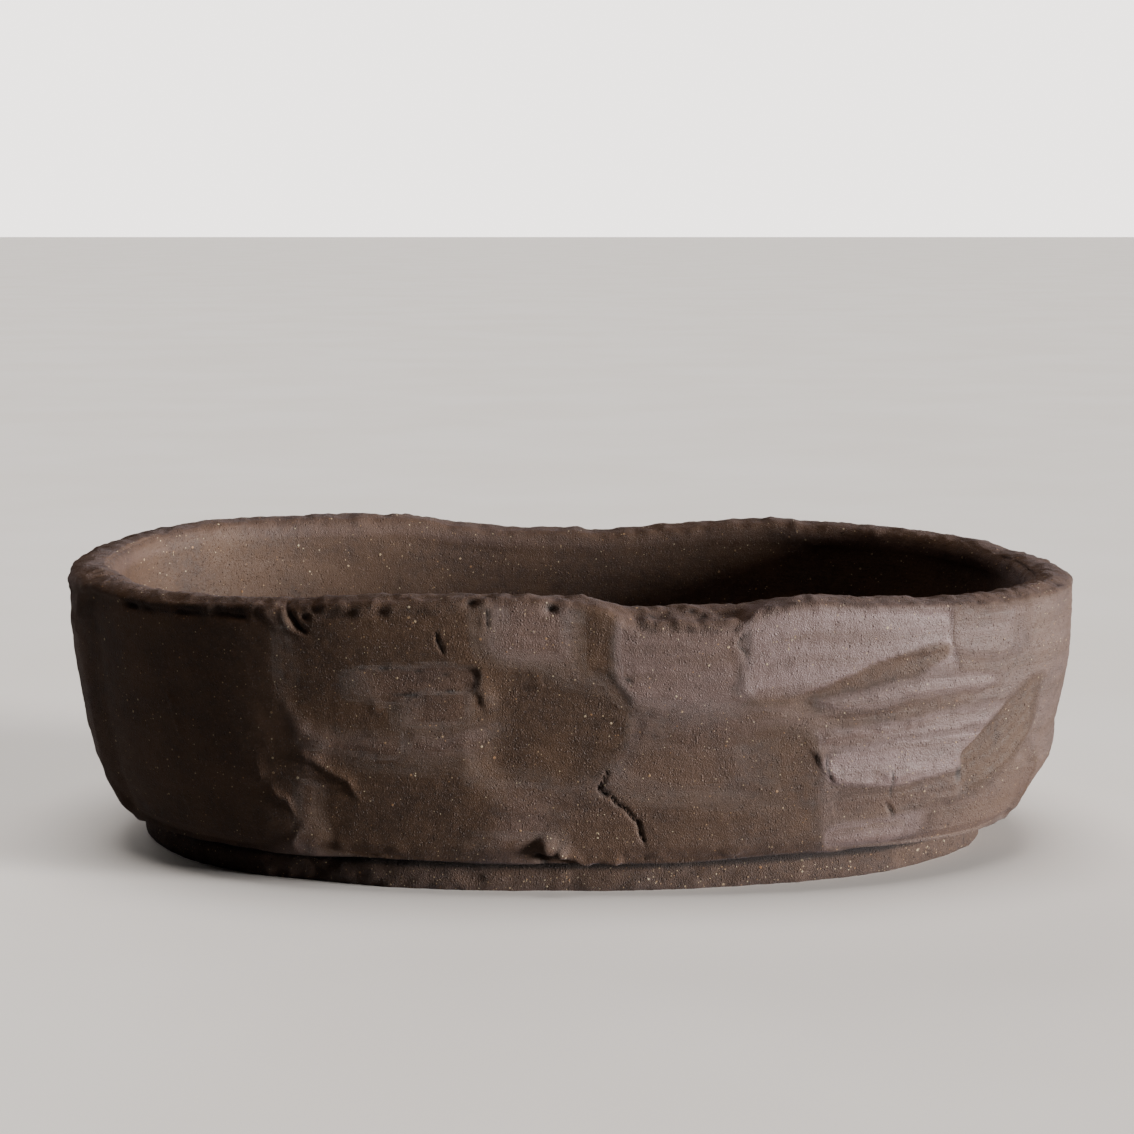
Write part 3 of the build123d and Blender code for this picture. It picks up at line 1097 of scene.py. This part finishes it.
@dataclass
class PressedCoil:
    """The coil of clay pressed with the thumb into the corner between wall and slab."""

    width: float = 11.0
    tall: float = 12.0
    columns: int = 560
    rows: int = 20
    thumb: float = 17.0
    seed: int = 31

    def build(self, wall: ClayWall) -> bpy.types.Object:
        """Lays the coil along the inside of the wall.

        Args:
            wall: The wall, which the coil's back follows.

        Returns:
            The finished piece.
        """
        plan = wall.plan
        pick = np.linspace(0, wall.columns, self.columns, endpoint=False).astype(int)
        nx, ny = plan["nx"][pick], plan["ny"][pick]
        thick = wall.thickness(nx)
        piece = raise_rings("pressed_coil", self.columns, self.rows)
        row, column = ring_index(piece, self.columns)
        close_rings(piece)
        around = plan["walked"][pick]
        noise = ClayNoise(wall.girth, self.seed)
        presses = np.abs(np.sin(math.pi * (around + 3 * noise.field(around, around * 0, 40.0)) / self.thumb))
        thumb_depth = 1.6 * presses**0.7 - 0.8
        waver = 0.8 * noise.field(around, around * 0, 24.0)
        outs, heights = [], []
        tall_wall = RIM_TOP - wall.floor
        for step in range(self.rows):
            share = step / (self.rows - 4)
            if share <= 1:
                z = self.tall * math.sin(share * math.pi / 2) ** 1.2 + waver * share
                reach = self.width * (1 - share) ** 1.15 + 0.8 - 1.8 * ease(np.array((share - 0.8) / 0.2))
                dent = thumb_depth * math.sin(math.pi * min(1.0, share * 1.1))
            else:
                z, reach, dent = (self.tall * (self.rows - step) / 4 * 0.8, -1.2, 0.0)
            level = np.broadcast_to(np.clip(z / tall_wall, 0, 1), around.shape)
            outs.append(-thick - wall.inset(wall.inside, level, nx) - reach + dent)
            heights.append(wall.floor - 0.25 + z + 0 * around)
        out, height = np.array(outs), np.array(heights)
        rough = 0.18 * noise.field(around[None, :] + 0 * out, height, 4.0)
        places = np.stack([plan["x"][pick] + nx * out, plan["y"][pick] + ny * out, height + rough], axis=-1)
        write_places(piece, places[row, column] * MM)
        face_outwards(piece)
        points = read_places(piece)
        blank = np.zeros(len(points))
        paint(piece, grain=points[:, 2], burnish=blank + 0.45, crevice=blank, torn=blank + 0.1)
        return piece


# ---------------------------------------------------------------------------------------------
# Drain screens and clips
# ---------------------------------------------------------------------------------------------


@dataclass
class DrainScreen:
    """A cut square of plastic mesh over a drain hole."""

    side: Side
    strand: float = 1.0
    cells: int = 9
    sag: float = 0.25

    def build(self) -> bpy.types.Object:
        """Cuts the square and lets it dip a little over its hole."""
        low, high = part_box(f"drain_screen_{self.side.value}")
        middle = (low + high) / 2
        span = high[0] - low[0]
        deselect_all()
        bpy.ops.mesh.primitive_grid_add(
            x_subdivisions=self.cells, y_subdivisions=self.cells, size=span - self.strand * MM,
            location=middle)
        piece = name_piece(f"mesh_{self.side.value}")
        apply_place(piece)
        strands = piece.modifiers.new("strands", "WIREFRAME")
        strands.thickness, strands.use_even_offset, strands.use_boundary = self.strand * MM, True, True
        strands.use_replace = True
        rounding = piece.modifiers.new("rounding", "BEVEL")
        rounding.width, rounding.segments, rounding.limit_method = 0.22 * MM, 2, "ANGLE"
        apply_modifiers(piece)
        points = read_places(piece)
        from_hole = np.hypot(points[:, 0] - middle[0], points[:, 1] - middle[1]) / MM
        points[:, 2] -= self.sag * MM * ease((12 - from_hole) / 12)
        points[:, 2] += 0.10 * MM * ease((from_hole - 14) / 8)
        write_places(piece, points)
        activate(piece)
        bpy.ops.object.shade_smooth_by_angle(angle=math.radians(40))
        return piece


@dataclass
class ScreenClip:
    """A bent wire that holds a screen: two flat loops above, two legs through, two turned ends below."""

    side: Side
    wire_radius: float = 0.75
    leg: float = 6.8
    loop: float = 3.4
    bend: float = 1.6

    def route(self) -> list[tuple[float, float, float]]:
        """Points of half the wire, from its turned end to the middle of its back, from the hole's centre."""
        low, high = (np.array(corner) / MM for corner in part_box(f"screen_clip_{self.side.value}"))
        foot, top = low[2] + self.wire_radius, high[2] - self.wire_radius
        far = (high[0] - low[0]) / 2 - self.wire_radius
        tip, side, bend = 13.0, self.loop, self.bend
        return [
            (-tip, side, foot + 0.25), (-tip + 2.6, side, foot + 0.1), (-self.leg - bend, side, foot),
            (-self.leg, side, foot), (-self.leg, side, foot + bend), (-self.leg, side, (foot + top) / 2),
            (-self.leg, side, top - bend), (-self.leg, side, top), (-self.leg - bend, side, top),
            (-far + side, side, top), (-far + 0.5, side - 0.2, top), (-far, side - 1.5, top),
            (-far, 0.0, top),
            (-far, 1.5 - side, top), (-far + 0.5, 0.2 - side, top), (-far + side, -side, top),
            (-self.leg, -side - 0.15, top), (-2.0, -side, top),
        ]

    def build(self) -> bpy.types.Object:
        """Bends the wire and cuts it to length."""
        low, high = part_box(f"screen_clip_{self.side.value}")
        middle = (low[0] + high[0]) / 2
        half = self.route()
        points = half + [(-x, y, z) for x, y, z in reversed(half)]
        deselect_all()
        bpy.ops.curve.primitive_nurbs_path_add(location=(0, 0, 0))
        wire = bpy.context.object
        wire.data.splines.clear()
        spline = wire.data.splines.new("NURBS")
        spline.points.add(len(points) - 1)
        for point, (x, y, z) in zip(spline.points, points):
            point.co = (middle + x * MM, y * MM, z * MM, 1.0)
        spline.order_u, spline.use_endpoint_u = 3, True
        wire.data.bevel_depth, wire.data.bevel_resolution = self.wire_radius * MM, 4
        wire.data.resolution_u, wire.data.use_fill_caps = 6, True
        bpy.ops.object.convert(target="MESH")
        piece = name_piece(f"clip_{self.side.value}")
        face_outwards(piece)
        bpy.ops.object.shade_smooth_by_angle(angle=math.radians(50))
        return piece


# ---------------------------------------------------------------------------------------------
# Finishes
# ---------------------------------------------------------------------------------------------


Colour = tuple[float, float, float]


class Graph:
    """Adds nodes to one tree and joins them."""

    def __init__(self, tree: bpy.types.NodeTree) -> None:
        """Takes the tree to work on."""
        self.tree = tree

    def add(
        self, kind: str, inputs: dict[str | int, object] | None = None, **settings: object
    ) -> bpy.types.Node:
        """Adds a node.

        Args:
            kind: The node's type, without the words ShaderNode.
            inputs: Values or sockets for its inputs, by name or number.
            **settings: Its own settings.

        Returns:
            The new node.
        """
        node = self.tree.nodes.new("ShaderNode" + kind)
        for name, value in settings.items():
            setattr(node, name, value)
        for key, value in (inputs or {}).items():
            if isinstance(value, bpy.types.NodeSocket):
                self.tree.links.new(value, node.inputs[key])
            else:
                node.inputs[key].default_value = value
        return node

    def join(self, start: object, end: object) -> None:
        """Joins two sockets."""
        self.tree.links.new(start, end)

    def sum(self, operation: str, first: object, second: object, clamp: bool = False) -> bpy.types.NodeSocket:
        """Works out one number from two."""
        return self.add("Math", {0: first, 1: second}, operation=operation, use_clamp=clamp).outputs[0]

    def fit(
        self, value: object, low: float, high: float, to_low: float = 0.0, to_high: float = 1.0
    ) -> object:
        """Maps a value from one range to another, with soft ends."""
        inputs = {"Value": value, "From Min": low, "From Max": high, "To Min": to_low, "To Max": to_high}
        return self.add("MapRange", inputs, interpolation_type="SMOOTHSTEP").outputs["Result"]

    def blend(self, share: object, first: object, second: object) -> bpy.types.NodeSocket:
        """Mixes two colours."""
        node = self.add("Mix", data_type="RGBA", blend_type="MIX")
        for socket, value in zip((node.inputs[0], node.inputs[6], node.inputs[7]), (share, first, second)):
            if isinstance(value, bpy.types.NodeSocket):
                self.tree.links.new(value, socket)
            else:
                socket.default_value = value if isinstance(value, float) else (*value, 1.0)
        return node.outputs[2]

    def noise(self, vector: object, scale: float, detail: float = 3.0, rough: float = 0.55) -> object:
        """A smooth random value."""
        inputs = {"Vector": vector, "Scale": scale, "Detail": detail, "Roughness": rough}
        return self.add("TexNoise", inputs).outputs[0]


def new_group(
    name: str, inputs: dict[str, float | str], outputs: tuple[str, ...]
) -> tuple[object, Graph, object, object]:
    """Makes an empty node group.

    Args:
        name: The group's name.
        inputs: Names of its inputs, with a starting number or the word vector.
        outputs: Names of its outputs, which are numbers.

    Returns:
        The group, its graph, and the nodes of its inputs and outputs.
    """
    group = bpy.data.node_groups.new(name, "ShaderNodeTree")
    for label, value in inputs.items():
        kind = "NodeSocketVector" if value == "vector" else "NodeSocketFloat"
        socket = group.interface.new_socket(label, in_out="INPUT", socket_type=kind)
        if kind == "NodeSocketFloat":
            socket.default_value = value
    for label in outputs:
        group.interface.new_socket(label, in_out="OUTPUT", socket_type="NodeSocketFloat")
    graph = Graph(group)
    start = group.nodes.new("NodeGroupInput")
    end = group.nodes.new("NodeGroupOutput")
    return group, graph, start, end


def new_material(name: str) -> tuple[bpy.types.Material, Graph, bpy.types.Node, object]:
    """Starts a material.

    Args:
        name: The material's name.

    Returns:
        The material, its graph, its shader, and places on the piece it covers.
    """
    material = bpy.data.materials.new(name)
    material.use_nodes = True
    graph = Graph(material.node_tree)
    shader = material.node_tree.nodes["Principled BSDF"]
    return material, graph, shader, graph.add("TexCoord").outputs["Object"]


class Effects:
    """The node groups that several finishes share."""

    def __init__(self) -> None:
        """Builds each group once."""
        self.grog = self._grog()
        self.tool_lines = self._tool_lines()
        self.grit = self._grit()

    @staticmethod
    def _grog() -> object:
        """Hard grains in the clay: where they show, how pale each is, and how far they stand out."""
        group, graph, start, end = new_group(
            "grog", {"Vector": "vector", "Grains per metre": 450.0, "Amount": 0.2, "Size": 0.3},
            ("Mask", "Tone"))
        cells = graph.add("TexVoronoi", {"Vector": start.outputs[0], "Scale": start.outputs[1]}, feature="F1")
        parts = graph.add("SeparateColor", {"Color": cells.outputs["Color"]})
        chosen = graph.sum("LESS_THAN", parts.outputs[0], start.outputs[2])
        reach = graph.sum("MULTIPLY", graph.fit(parts.outputs[1], 0.0, 1.0, 0.35, 1.0), start.outputs[3])
        inside = graph.sum("SUBTRACT", reach, cells.outputs["Distance"])
        soft = graph.fit(inside, 0.0, 0.07)
        graph.join(graph.sum("MULTIPLY", chosen, soft), end.inputs[0])
        graph.join(parts.outputs[2], end.inputs[1])
        return group

    @staticmethod
    def _tool_lines() -> object:
        """Fine level lines drawn by a rib, which follow each pass."""
        group, graph, start, end = new_group(
            "tool_lines", {"Vector": "vector", "Level": 0.0, "Fineness": 900.0},
            ("Height", "Broad"))
        place = graph.add("SeparateXYZ", {0: start.outputs[0]})
        level = graph.sum("MULTIPLY", start.outputs[1], start.outputs[2])
        x = graph.sum("MULTIPLY", place.outputs[0], 34.0)
        y = graph.sum("MULTIPLY", place.outputs[1], 34.0)
        lines = graph.add("CombineXYZ", {0: x, 1: y, 2: level}).outputs[0]
        graph.join(graph.noise(lines, 1.0, 3.0, 0.6), end.inputs[0])
        broad = graph.add("VectorMath", {0: lines, 1: (0.7, 0.7, 0.22)}, operation="MULTIPLY").outputs[0]
        graph.join(graph.noise(broad, 1.0, 2.0, 0.5), end.inputs[1])
        return group

    @staticmethod
    def _grit() -> object:
        """The sandy skin of fired coarse clay: single grains that stand out, small holes and a fine tooth."""
        group, graph, start, end = new_group(
            "grit", {"Vector": "vector", "Grains per metre": 1350.0}, ("Height",))
        fine = graph.sum("MULTIPLY", start.outputs[1], 2.4)
        height = graph.sum("MULTIPLY", graph.add(
            "TexNoise", {"Vector": start.outputs[0], "Scale": fine, "Detail": 2.0}).outputs[0], 0.9)
        for finer, share, tall in ((1.0, 0.24, 0.6), (1.8, 0.45, 0.5), (1.2, 0.12, -1.2)):
            scale = graph.sum("MULTIPLY", start.outputs[1], finer)
            cells = graph.add("TexVoronoi", {"Vector": start.outputs[0], "Scale": scale}, feature="F1")
            parts = graph.add("SeparateColor", {"Color": cells.outputs["Color"]})
            chosen = graph.sum("LESS_THAN", parts.outputs[0], share)
            reach = graph.fit(parts.outputs[1], 0.0, 1.0, 0.25, 0.5)
            grain = graph.fit(graph.sum("SUBTRACT", reach, cells.outputs["Distance"]), 0.0, 0.3, 0.0, tall)
            height = graph.sum("ADD", height, graph.sum("MULTIPLY", chosen, grain))
        graph.join(height, end.inputs[0])
        return group


@dataclass(frozen=True)
class ClayFinish:
    """Dark, iron-rich clay fired without glaze."""

    name: str
    deep: Colour = (0.032, 0.0155, 0.0075)
    body: Colour = (0.063, 0.0325, 0.0160)
    # Lighter lilac colour of burnished clay, also painted highlight for the sheen on lit facets; the sand
    # specks use it too
    rubbed_and_highlight: Colour = (0.150, 0.103, 0.098)
    pale_grog: Colour = (0.36, 0.30, 0.20)
    warm_grog: Colour = (0.20, 0.10, 0.04)
    grog_amount: float = 0.16
    line_depth: float = 0.14
    grit_depth: float = 0.24
    speckle: float = 0.6
    roughness: float = 0.64
    sheen: float = 0.06
    sheen_roughness: float = 0.45
    sheen_tint: Colour = (0.86, 0.84, 1.0)
    specular: float = 0.35
    shadow: Colour = (0.006, 0.004, 0.003)  # down in the cracks

    def make(self, effects: Effects) -> bpy.types.Material:
        """Builds the material.

        Args:
            effects: The shared node groups.

        Returns:
            The material.
        """
        material, graph, shader, place = new_material(self.name)
        grain, burnish, crevice, torn = (
            graph.add("Attribute", attribute_name=name).outputs["Fac"]
            for name in ("grain", "burnish", "crevice", "torn"))
        lines = graph.add("Group", {0: place, 1: grain}, node_tree=effects.tool_lines)
        patches = graph.fit(graph.noise(place, 55.0, 4.0, 0.6), 0.36, 0.66)
        mottle = graph.noise(place, 420.0, 4.0, 0.65)
        colour = graph.blend(patches, self.deep, self.body)
        colour = graph.blend(graph.fit(mottle, 0.35, 0.7, 0.0, 0.7), colour, self.body)
        # Painted highlight: the rubbed colour, laid where the burnish layer is high, stands in for the lilac
        # sheen of lit facets as well as for burnish; worn is that share
        rub_and_highlight = graph.sum("MULTIPLY", burnish, graph.fit(lines.outputs["Broad"], 0.3, 0.6, 0.55, 1.0))
        worn = graph.sum("MULTIPLY", rub_and_highlight, graph.fit(mottle, 0.25, 0.6, 0.65, 1.0))
        colour = graph.blend(worn, colour, self.rubbed_and_highlight)
        rough_mark = graph.sum("MULTIPLY", torn, 0.4)
        colour = graph.blend(rough_mark, colour, self.deep)
        sand = graph.noise(place, 1500.0, 3.0, 0.75)
        colour = graph.blend(graph.fit(sand, 0.56, 0.72, 0.0, self.speckle), colour, self.deep)
        colour = graph.blend(graph.fit(sand, 0.44, 0.28, 0.0, 0.6 * self.speckle), colour, self.rubbed_and_highlight)
        grog = self.grog(graph, effects, place, 620.0, self.grog_amount * 0.4, 0.26)
        specks = self.grog(graph, effects, place, 1300.0, self.grog_amount * 0.7, 0.30)
        colour = graph.blend(specks[0], colour, graph.blend(specks[1], self.warm_grog, self.pale_grog))
        colour = graph.blend(grog[0], colour, graph.blend(grog[1], self.warm_grog, self.pale_grog))
        # Painted shade: cracks, holes and the joint under the wall are darkened toward the shadow colour
        dark = graph.sum("MULTIPLY", crevice, 0.85, clamp=True)
        colour = graph.blend(dark, colour, self.shadow)
        graph.join(colour, shader.inputs["Base Color"])
        rough = graph.sum("ADD", self.roughness, graph.sum("MULTIPLY", torn, 0.15))
        rough = graph.sum("SUBTRACT", rough, graph.sum("MULTIPLY", rub_and_highlight, 0.16))
        rough = graph.sum("ADD", rough, graph.fit(mottle, 0.3, 0.7, -0.05, 0.06), clamp=True)
        graph.join(rough, shader.inputs["Roughness"])
        grit = graph.add("Group", {0: place}, node_tree=effects.grit)
        line_strength = graph.sum("MULTIPLY", graph.fit(torn, 0.0, 0.7, 1.0, 0.1), self.line_depth)
        height = graph.sum("MULTIPLY", lines.outputs["Height"], line_strength)
        grit_strength = graph.sum("MULTIPLY", graph.fit(torn, 0.0, 1.0, 1.0, 2.2), self.grit_depth)
        height = graph.sum("ADD", height, graph.sum("MULTIPLY", grit.outputs[0], grit_strength))
        height = graph.sum("ADD", height, graph.sum("MULTIPLY", mottle, self.grit_depth * 0.8))
        height = graph.sum("ADD", height, graph.sum("MULTIPLY", grog[0], 0.07))
        bump = graph.add("Bump", {"Height": height, "Strength": 1.0, "Distance": MM})
        graph.join(bump.outputs[0], shader.inputs["Normal"])
        shader.inputs["Sheen Weight"].default_value = self.sheen
        shader.inputs["Sheen Roughness"].default_value = self.sheen_roughness
        shader.inputs["Sheen Tint"].default_value = (*self.sheen_tint, 1.0)
        shader.inputs["Specular IOR Level"].default_value = self.specular
        return material

    @staticmethod
    def grog(
        graph: Graph, effects: Effects, place: object, scale: float, amount: float, size: float
    ) -> tuple:
        """Places the grog group and returns its mask and tone."""
        node = graph.add("Group", {0: place, 1: scale, 2: amount, 3: size}, node_tree=effects.grog)
        return node.outputs[0], node.outputs[1]


@dataclass(frozen=True)
class MeshFinish:
    """Matte black moulded plastic with a little clay dust."""

    name: str = "black_mesh"
    plastic: Colour = (0.016, 0.016, 0.018)
    dust: Colour = (0.16, 0.12, 0.09)

    def make(self, effects: Effects) -> bpy.types.Material:
        """Builds the material."""
        material, graph, shader, place = new_material(self.name)
        cloud = graph.fit(graph.noise(place, 260.0, 4.0, 0.6), 0.5, 0.72, 0.0, 0.55)
        graph.join(graph.blend(cloud, self.plastic, self.dust), shader.inputs["Base Color"])
        graph.join(graph.fit(cloud, 0.0, 0.5, 0.42, 0.75), shader.inputs["Roughness"])
        grit = graph.add("Group", {0: place, 1: 2600.0}, node_tree=effects.grit)
        bump = graph.add("Bump", {"Height": grit.outputs[0], "Strength": 0.5, "Distance": 0.05 * MM})
        graph.join(bump.outputs[0], shader.inputs["Normal"])
        return material


@dataclass(frozen=True)
class WireFinish:
    """Brown anodised aluminium wire, bent with pliers."""

    name: str = "brown_wire"
    coat: Colour = (0.30, 0.17, 0.10)
    bare: Colour = (0.72, 0.70, 0.68)

    def make(self, effects: Effects) -> bpy.types.Material:
        """Builds the material."""
        material, graph, shader, place = new_material(self.name)
        worn = graph.fit(graph.noise(place, 520.0, 3.0, 0.6), 0.62, 0.7, 0.0, 0.8)
        graph.join(graph.blend(worn, self.coat, self.bare), shader.inputs["Base Color"])
        rough = graph.fit(graph.noise(place, 900.0), 0.3, 0.7, 0.28, 0.46)
        graph.join(rough, shader.inputs["Roughness"])
        grit = graph.add("Group", {0: place, 1: 3200.0}, node_tree=effects.grit)
        bump = graph.add("Bump", {"Height": grit.outputs[0], "Strength": 0.35, "Distance": 0.03 * MM})
        graph.join(bump.outputs[0], shader.inputs["Normal"])
        shader.inputs["Metallic"].default_value = 1.0
        return material


# ---------------------------------------------------------------------------------------------
# Studio
# ---------------------------------------------------------------------------------------------


@dataclass(frozen=True)
class Studio:
    """Camera, floor and light."""

    eye: tuple[float, float, float] = (-0.0012, -0.6605, 0.1725)
    down: float = 8.46
    lens: float = 76.19
    floor_size: float = 30.0
    window_from: tuple[float, float, float] = (0.95, -0.29, 0.10)
    window_strength: float = 12.0
    window_spread: float = 15.0
    top_strength: float = 2.3
    top_spread: float = 40.0
    fill_from: tuple[float, float, float] = (-0.35, 0.9, 0.25)
    fill_strength: float = 2.3
    fill_spread: float = 70.0
    ambient: float = 0.02
    backdrop: Colour = (0.80, 0.76, 0.73)
    backdrop_strength: float = 4.0
    sky: Colour = (0.90, 0.93, 1.0)
    sunlight: Colour = (1.0, 0.965, 0.94)
    floor_seen: tuple[Colour, Colour] = ((0.84, 0.795, 0.75), (0.88, 0.84, 0.80))
    floor_bounce: Colour = (0.24, 0.22, 0.20)

    def set_camera(self) -> None:
        """Places the camera a little above the rim, in front of the pot."""
        deselect_all()
        bpy.ops.object.camera_add(location=self.eye, rotation=(math.radians(90 - self.down), 0, 0))
        camera = bpy.context.object
        camera.name = "camera"
        camera.data.lens, camera.data.sensor_width = self.lens, 36.0
        camera.data.clip_start, camera.data.clip_end = 0.01, 100.0
        bpy.context.scene.camera = camera

    def lay_floor(self) -> None:
        """Lays the pale floor."""
        deselect_all()
        bpy.ops.mesh.primitive_plane_add(size=self.floor_size)
        floor = name_piece("studio_floor")
        material, graph, shader, place = new_material("studio_floor")
        tone = graph.fit(graph.noise(place, 6.0, 3.0), 0.3, 0.7)
        seen = graph.add("LightPath").outputs["Is Camera Ray"]
        pale = graph.blend(tone, *self.floor_seen)
        graph.join(graph.blend(seen, self.floor_bounce, pale), shader.inputs["Base Color"])
        shader.inputs["Roughness"].default_value = 0.8
        floor.data.materials.append(material)

    def add_sun(
        self, name: str, came_from: tuple[float, float, float], strength: float, spread: float
    ) -> None:
        """Adds one broad, distant light.

        Args:
            name: Its name.
            came_from: The direction that it shines from.
            strength: Its strength.
            spread: How wide it is, in degrees.
        """
        deselect_all()
        bpy.ops.object.light_add(type="SUN", location=tuple(2 * part for part in came_from))
        sun = bpy.context.object
        sun.name = name
        level = math.hypot(came_from[0], came_from[1])
        sun.rotation_euler = (0.0, math.atan2(level, came_from[2]), math.atan2(came_from[1], came_from[0]))
        sun.data.energy, sun.data.angle = strength, math.radians(spread)
        sun.data.color = self.sunlight
        sun.visible_glossy = name == "window_light"

    def set_light(self) -> None:
        """A broad light low on the right, weaker ones from above and behind, and a little all round."""
        self.add_sun("window_light", self.window_from, self.window_strength, self.window_spread)
        self.add_sun("top_light", (0.0, 0.0, 1.0), self.top_strength, self.top_spread)
        self.add_sun("fill_light", self.fill_from, self.fill_strength, self.fill_spread)
        world = bpy.data.worlds.new("studio")
        bpy.context.scene.world = world
        world.use_nodes = True
        graph = Graph(world.node_tree)
        background = world.node_tree.nodes["Background"]
        seen = graph.add("LightPath").outputs["Is Camera Ray"]
        graph.join(graph.blend(seen, self.sky, self.backdrop), background.inputs["Color"])
        strength = graph.fit(seen, 0.0, 1.0, self.ambient, self.backdrop_strength)
        graph.join(strength, background.inputs["Strength"])


# ---------------------------------------------------------------------------------------------
# The pot
# ---------------------------------------------------------------------------------------------


def main() -> None:
    """Builds the pot around its CAD frame and dresses it."""
    logging.basicConfig(level=logging.INFO, format="%(message)s")
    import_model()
    studio = Studio()
    studio.set_camera()
    studio.lay_floor()
    studio.set_light()
    effects = Effects()
    wall_clay = ClayFinish("wall_clay").make(effects)
    slab_clay = ClayFinish("slab_clay", grog_amount=0.5, line_depth=0.04, grit_depth=0.26).make(effects)
    coil_clay = ClayFinish("coil_clay", grog_amount=0.10, line_depth=0.03, sheen=0.15).make(effects)
    black_mesh = MeshFinish().make(effects)
    brown_wire = WireFinish().make(effects)
    wall = ClayWall()
    pieces = [
        (wall.build(), "wall", "wall_clay", wall_clay),
        (ClaySlab().build(), "base_slab", "slab_clay", slab_clay),
        (PressedCoil().build(wall), "corner_coil", "coil_clay", coil_clay),
    ]
    for side in Side:
        pieces.append((DrainScreen(side).build(), f"drain_screen_{side.value}", "screen_mesh", black_mesh))
        pieces.append((ScreenClip(side).build(), f"screen_clip_{side.value}", "clip_wire", brown_wire))
    for piece, node, slot, material in pieces:
        piece.data.materials.clear()
        piece.data.materials.append(material)
        join_frame(piece, node)


if __name__ == "__main__":
    main()
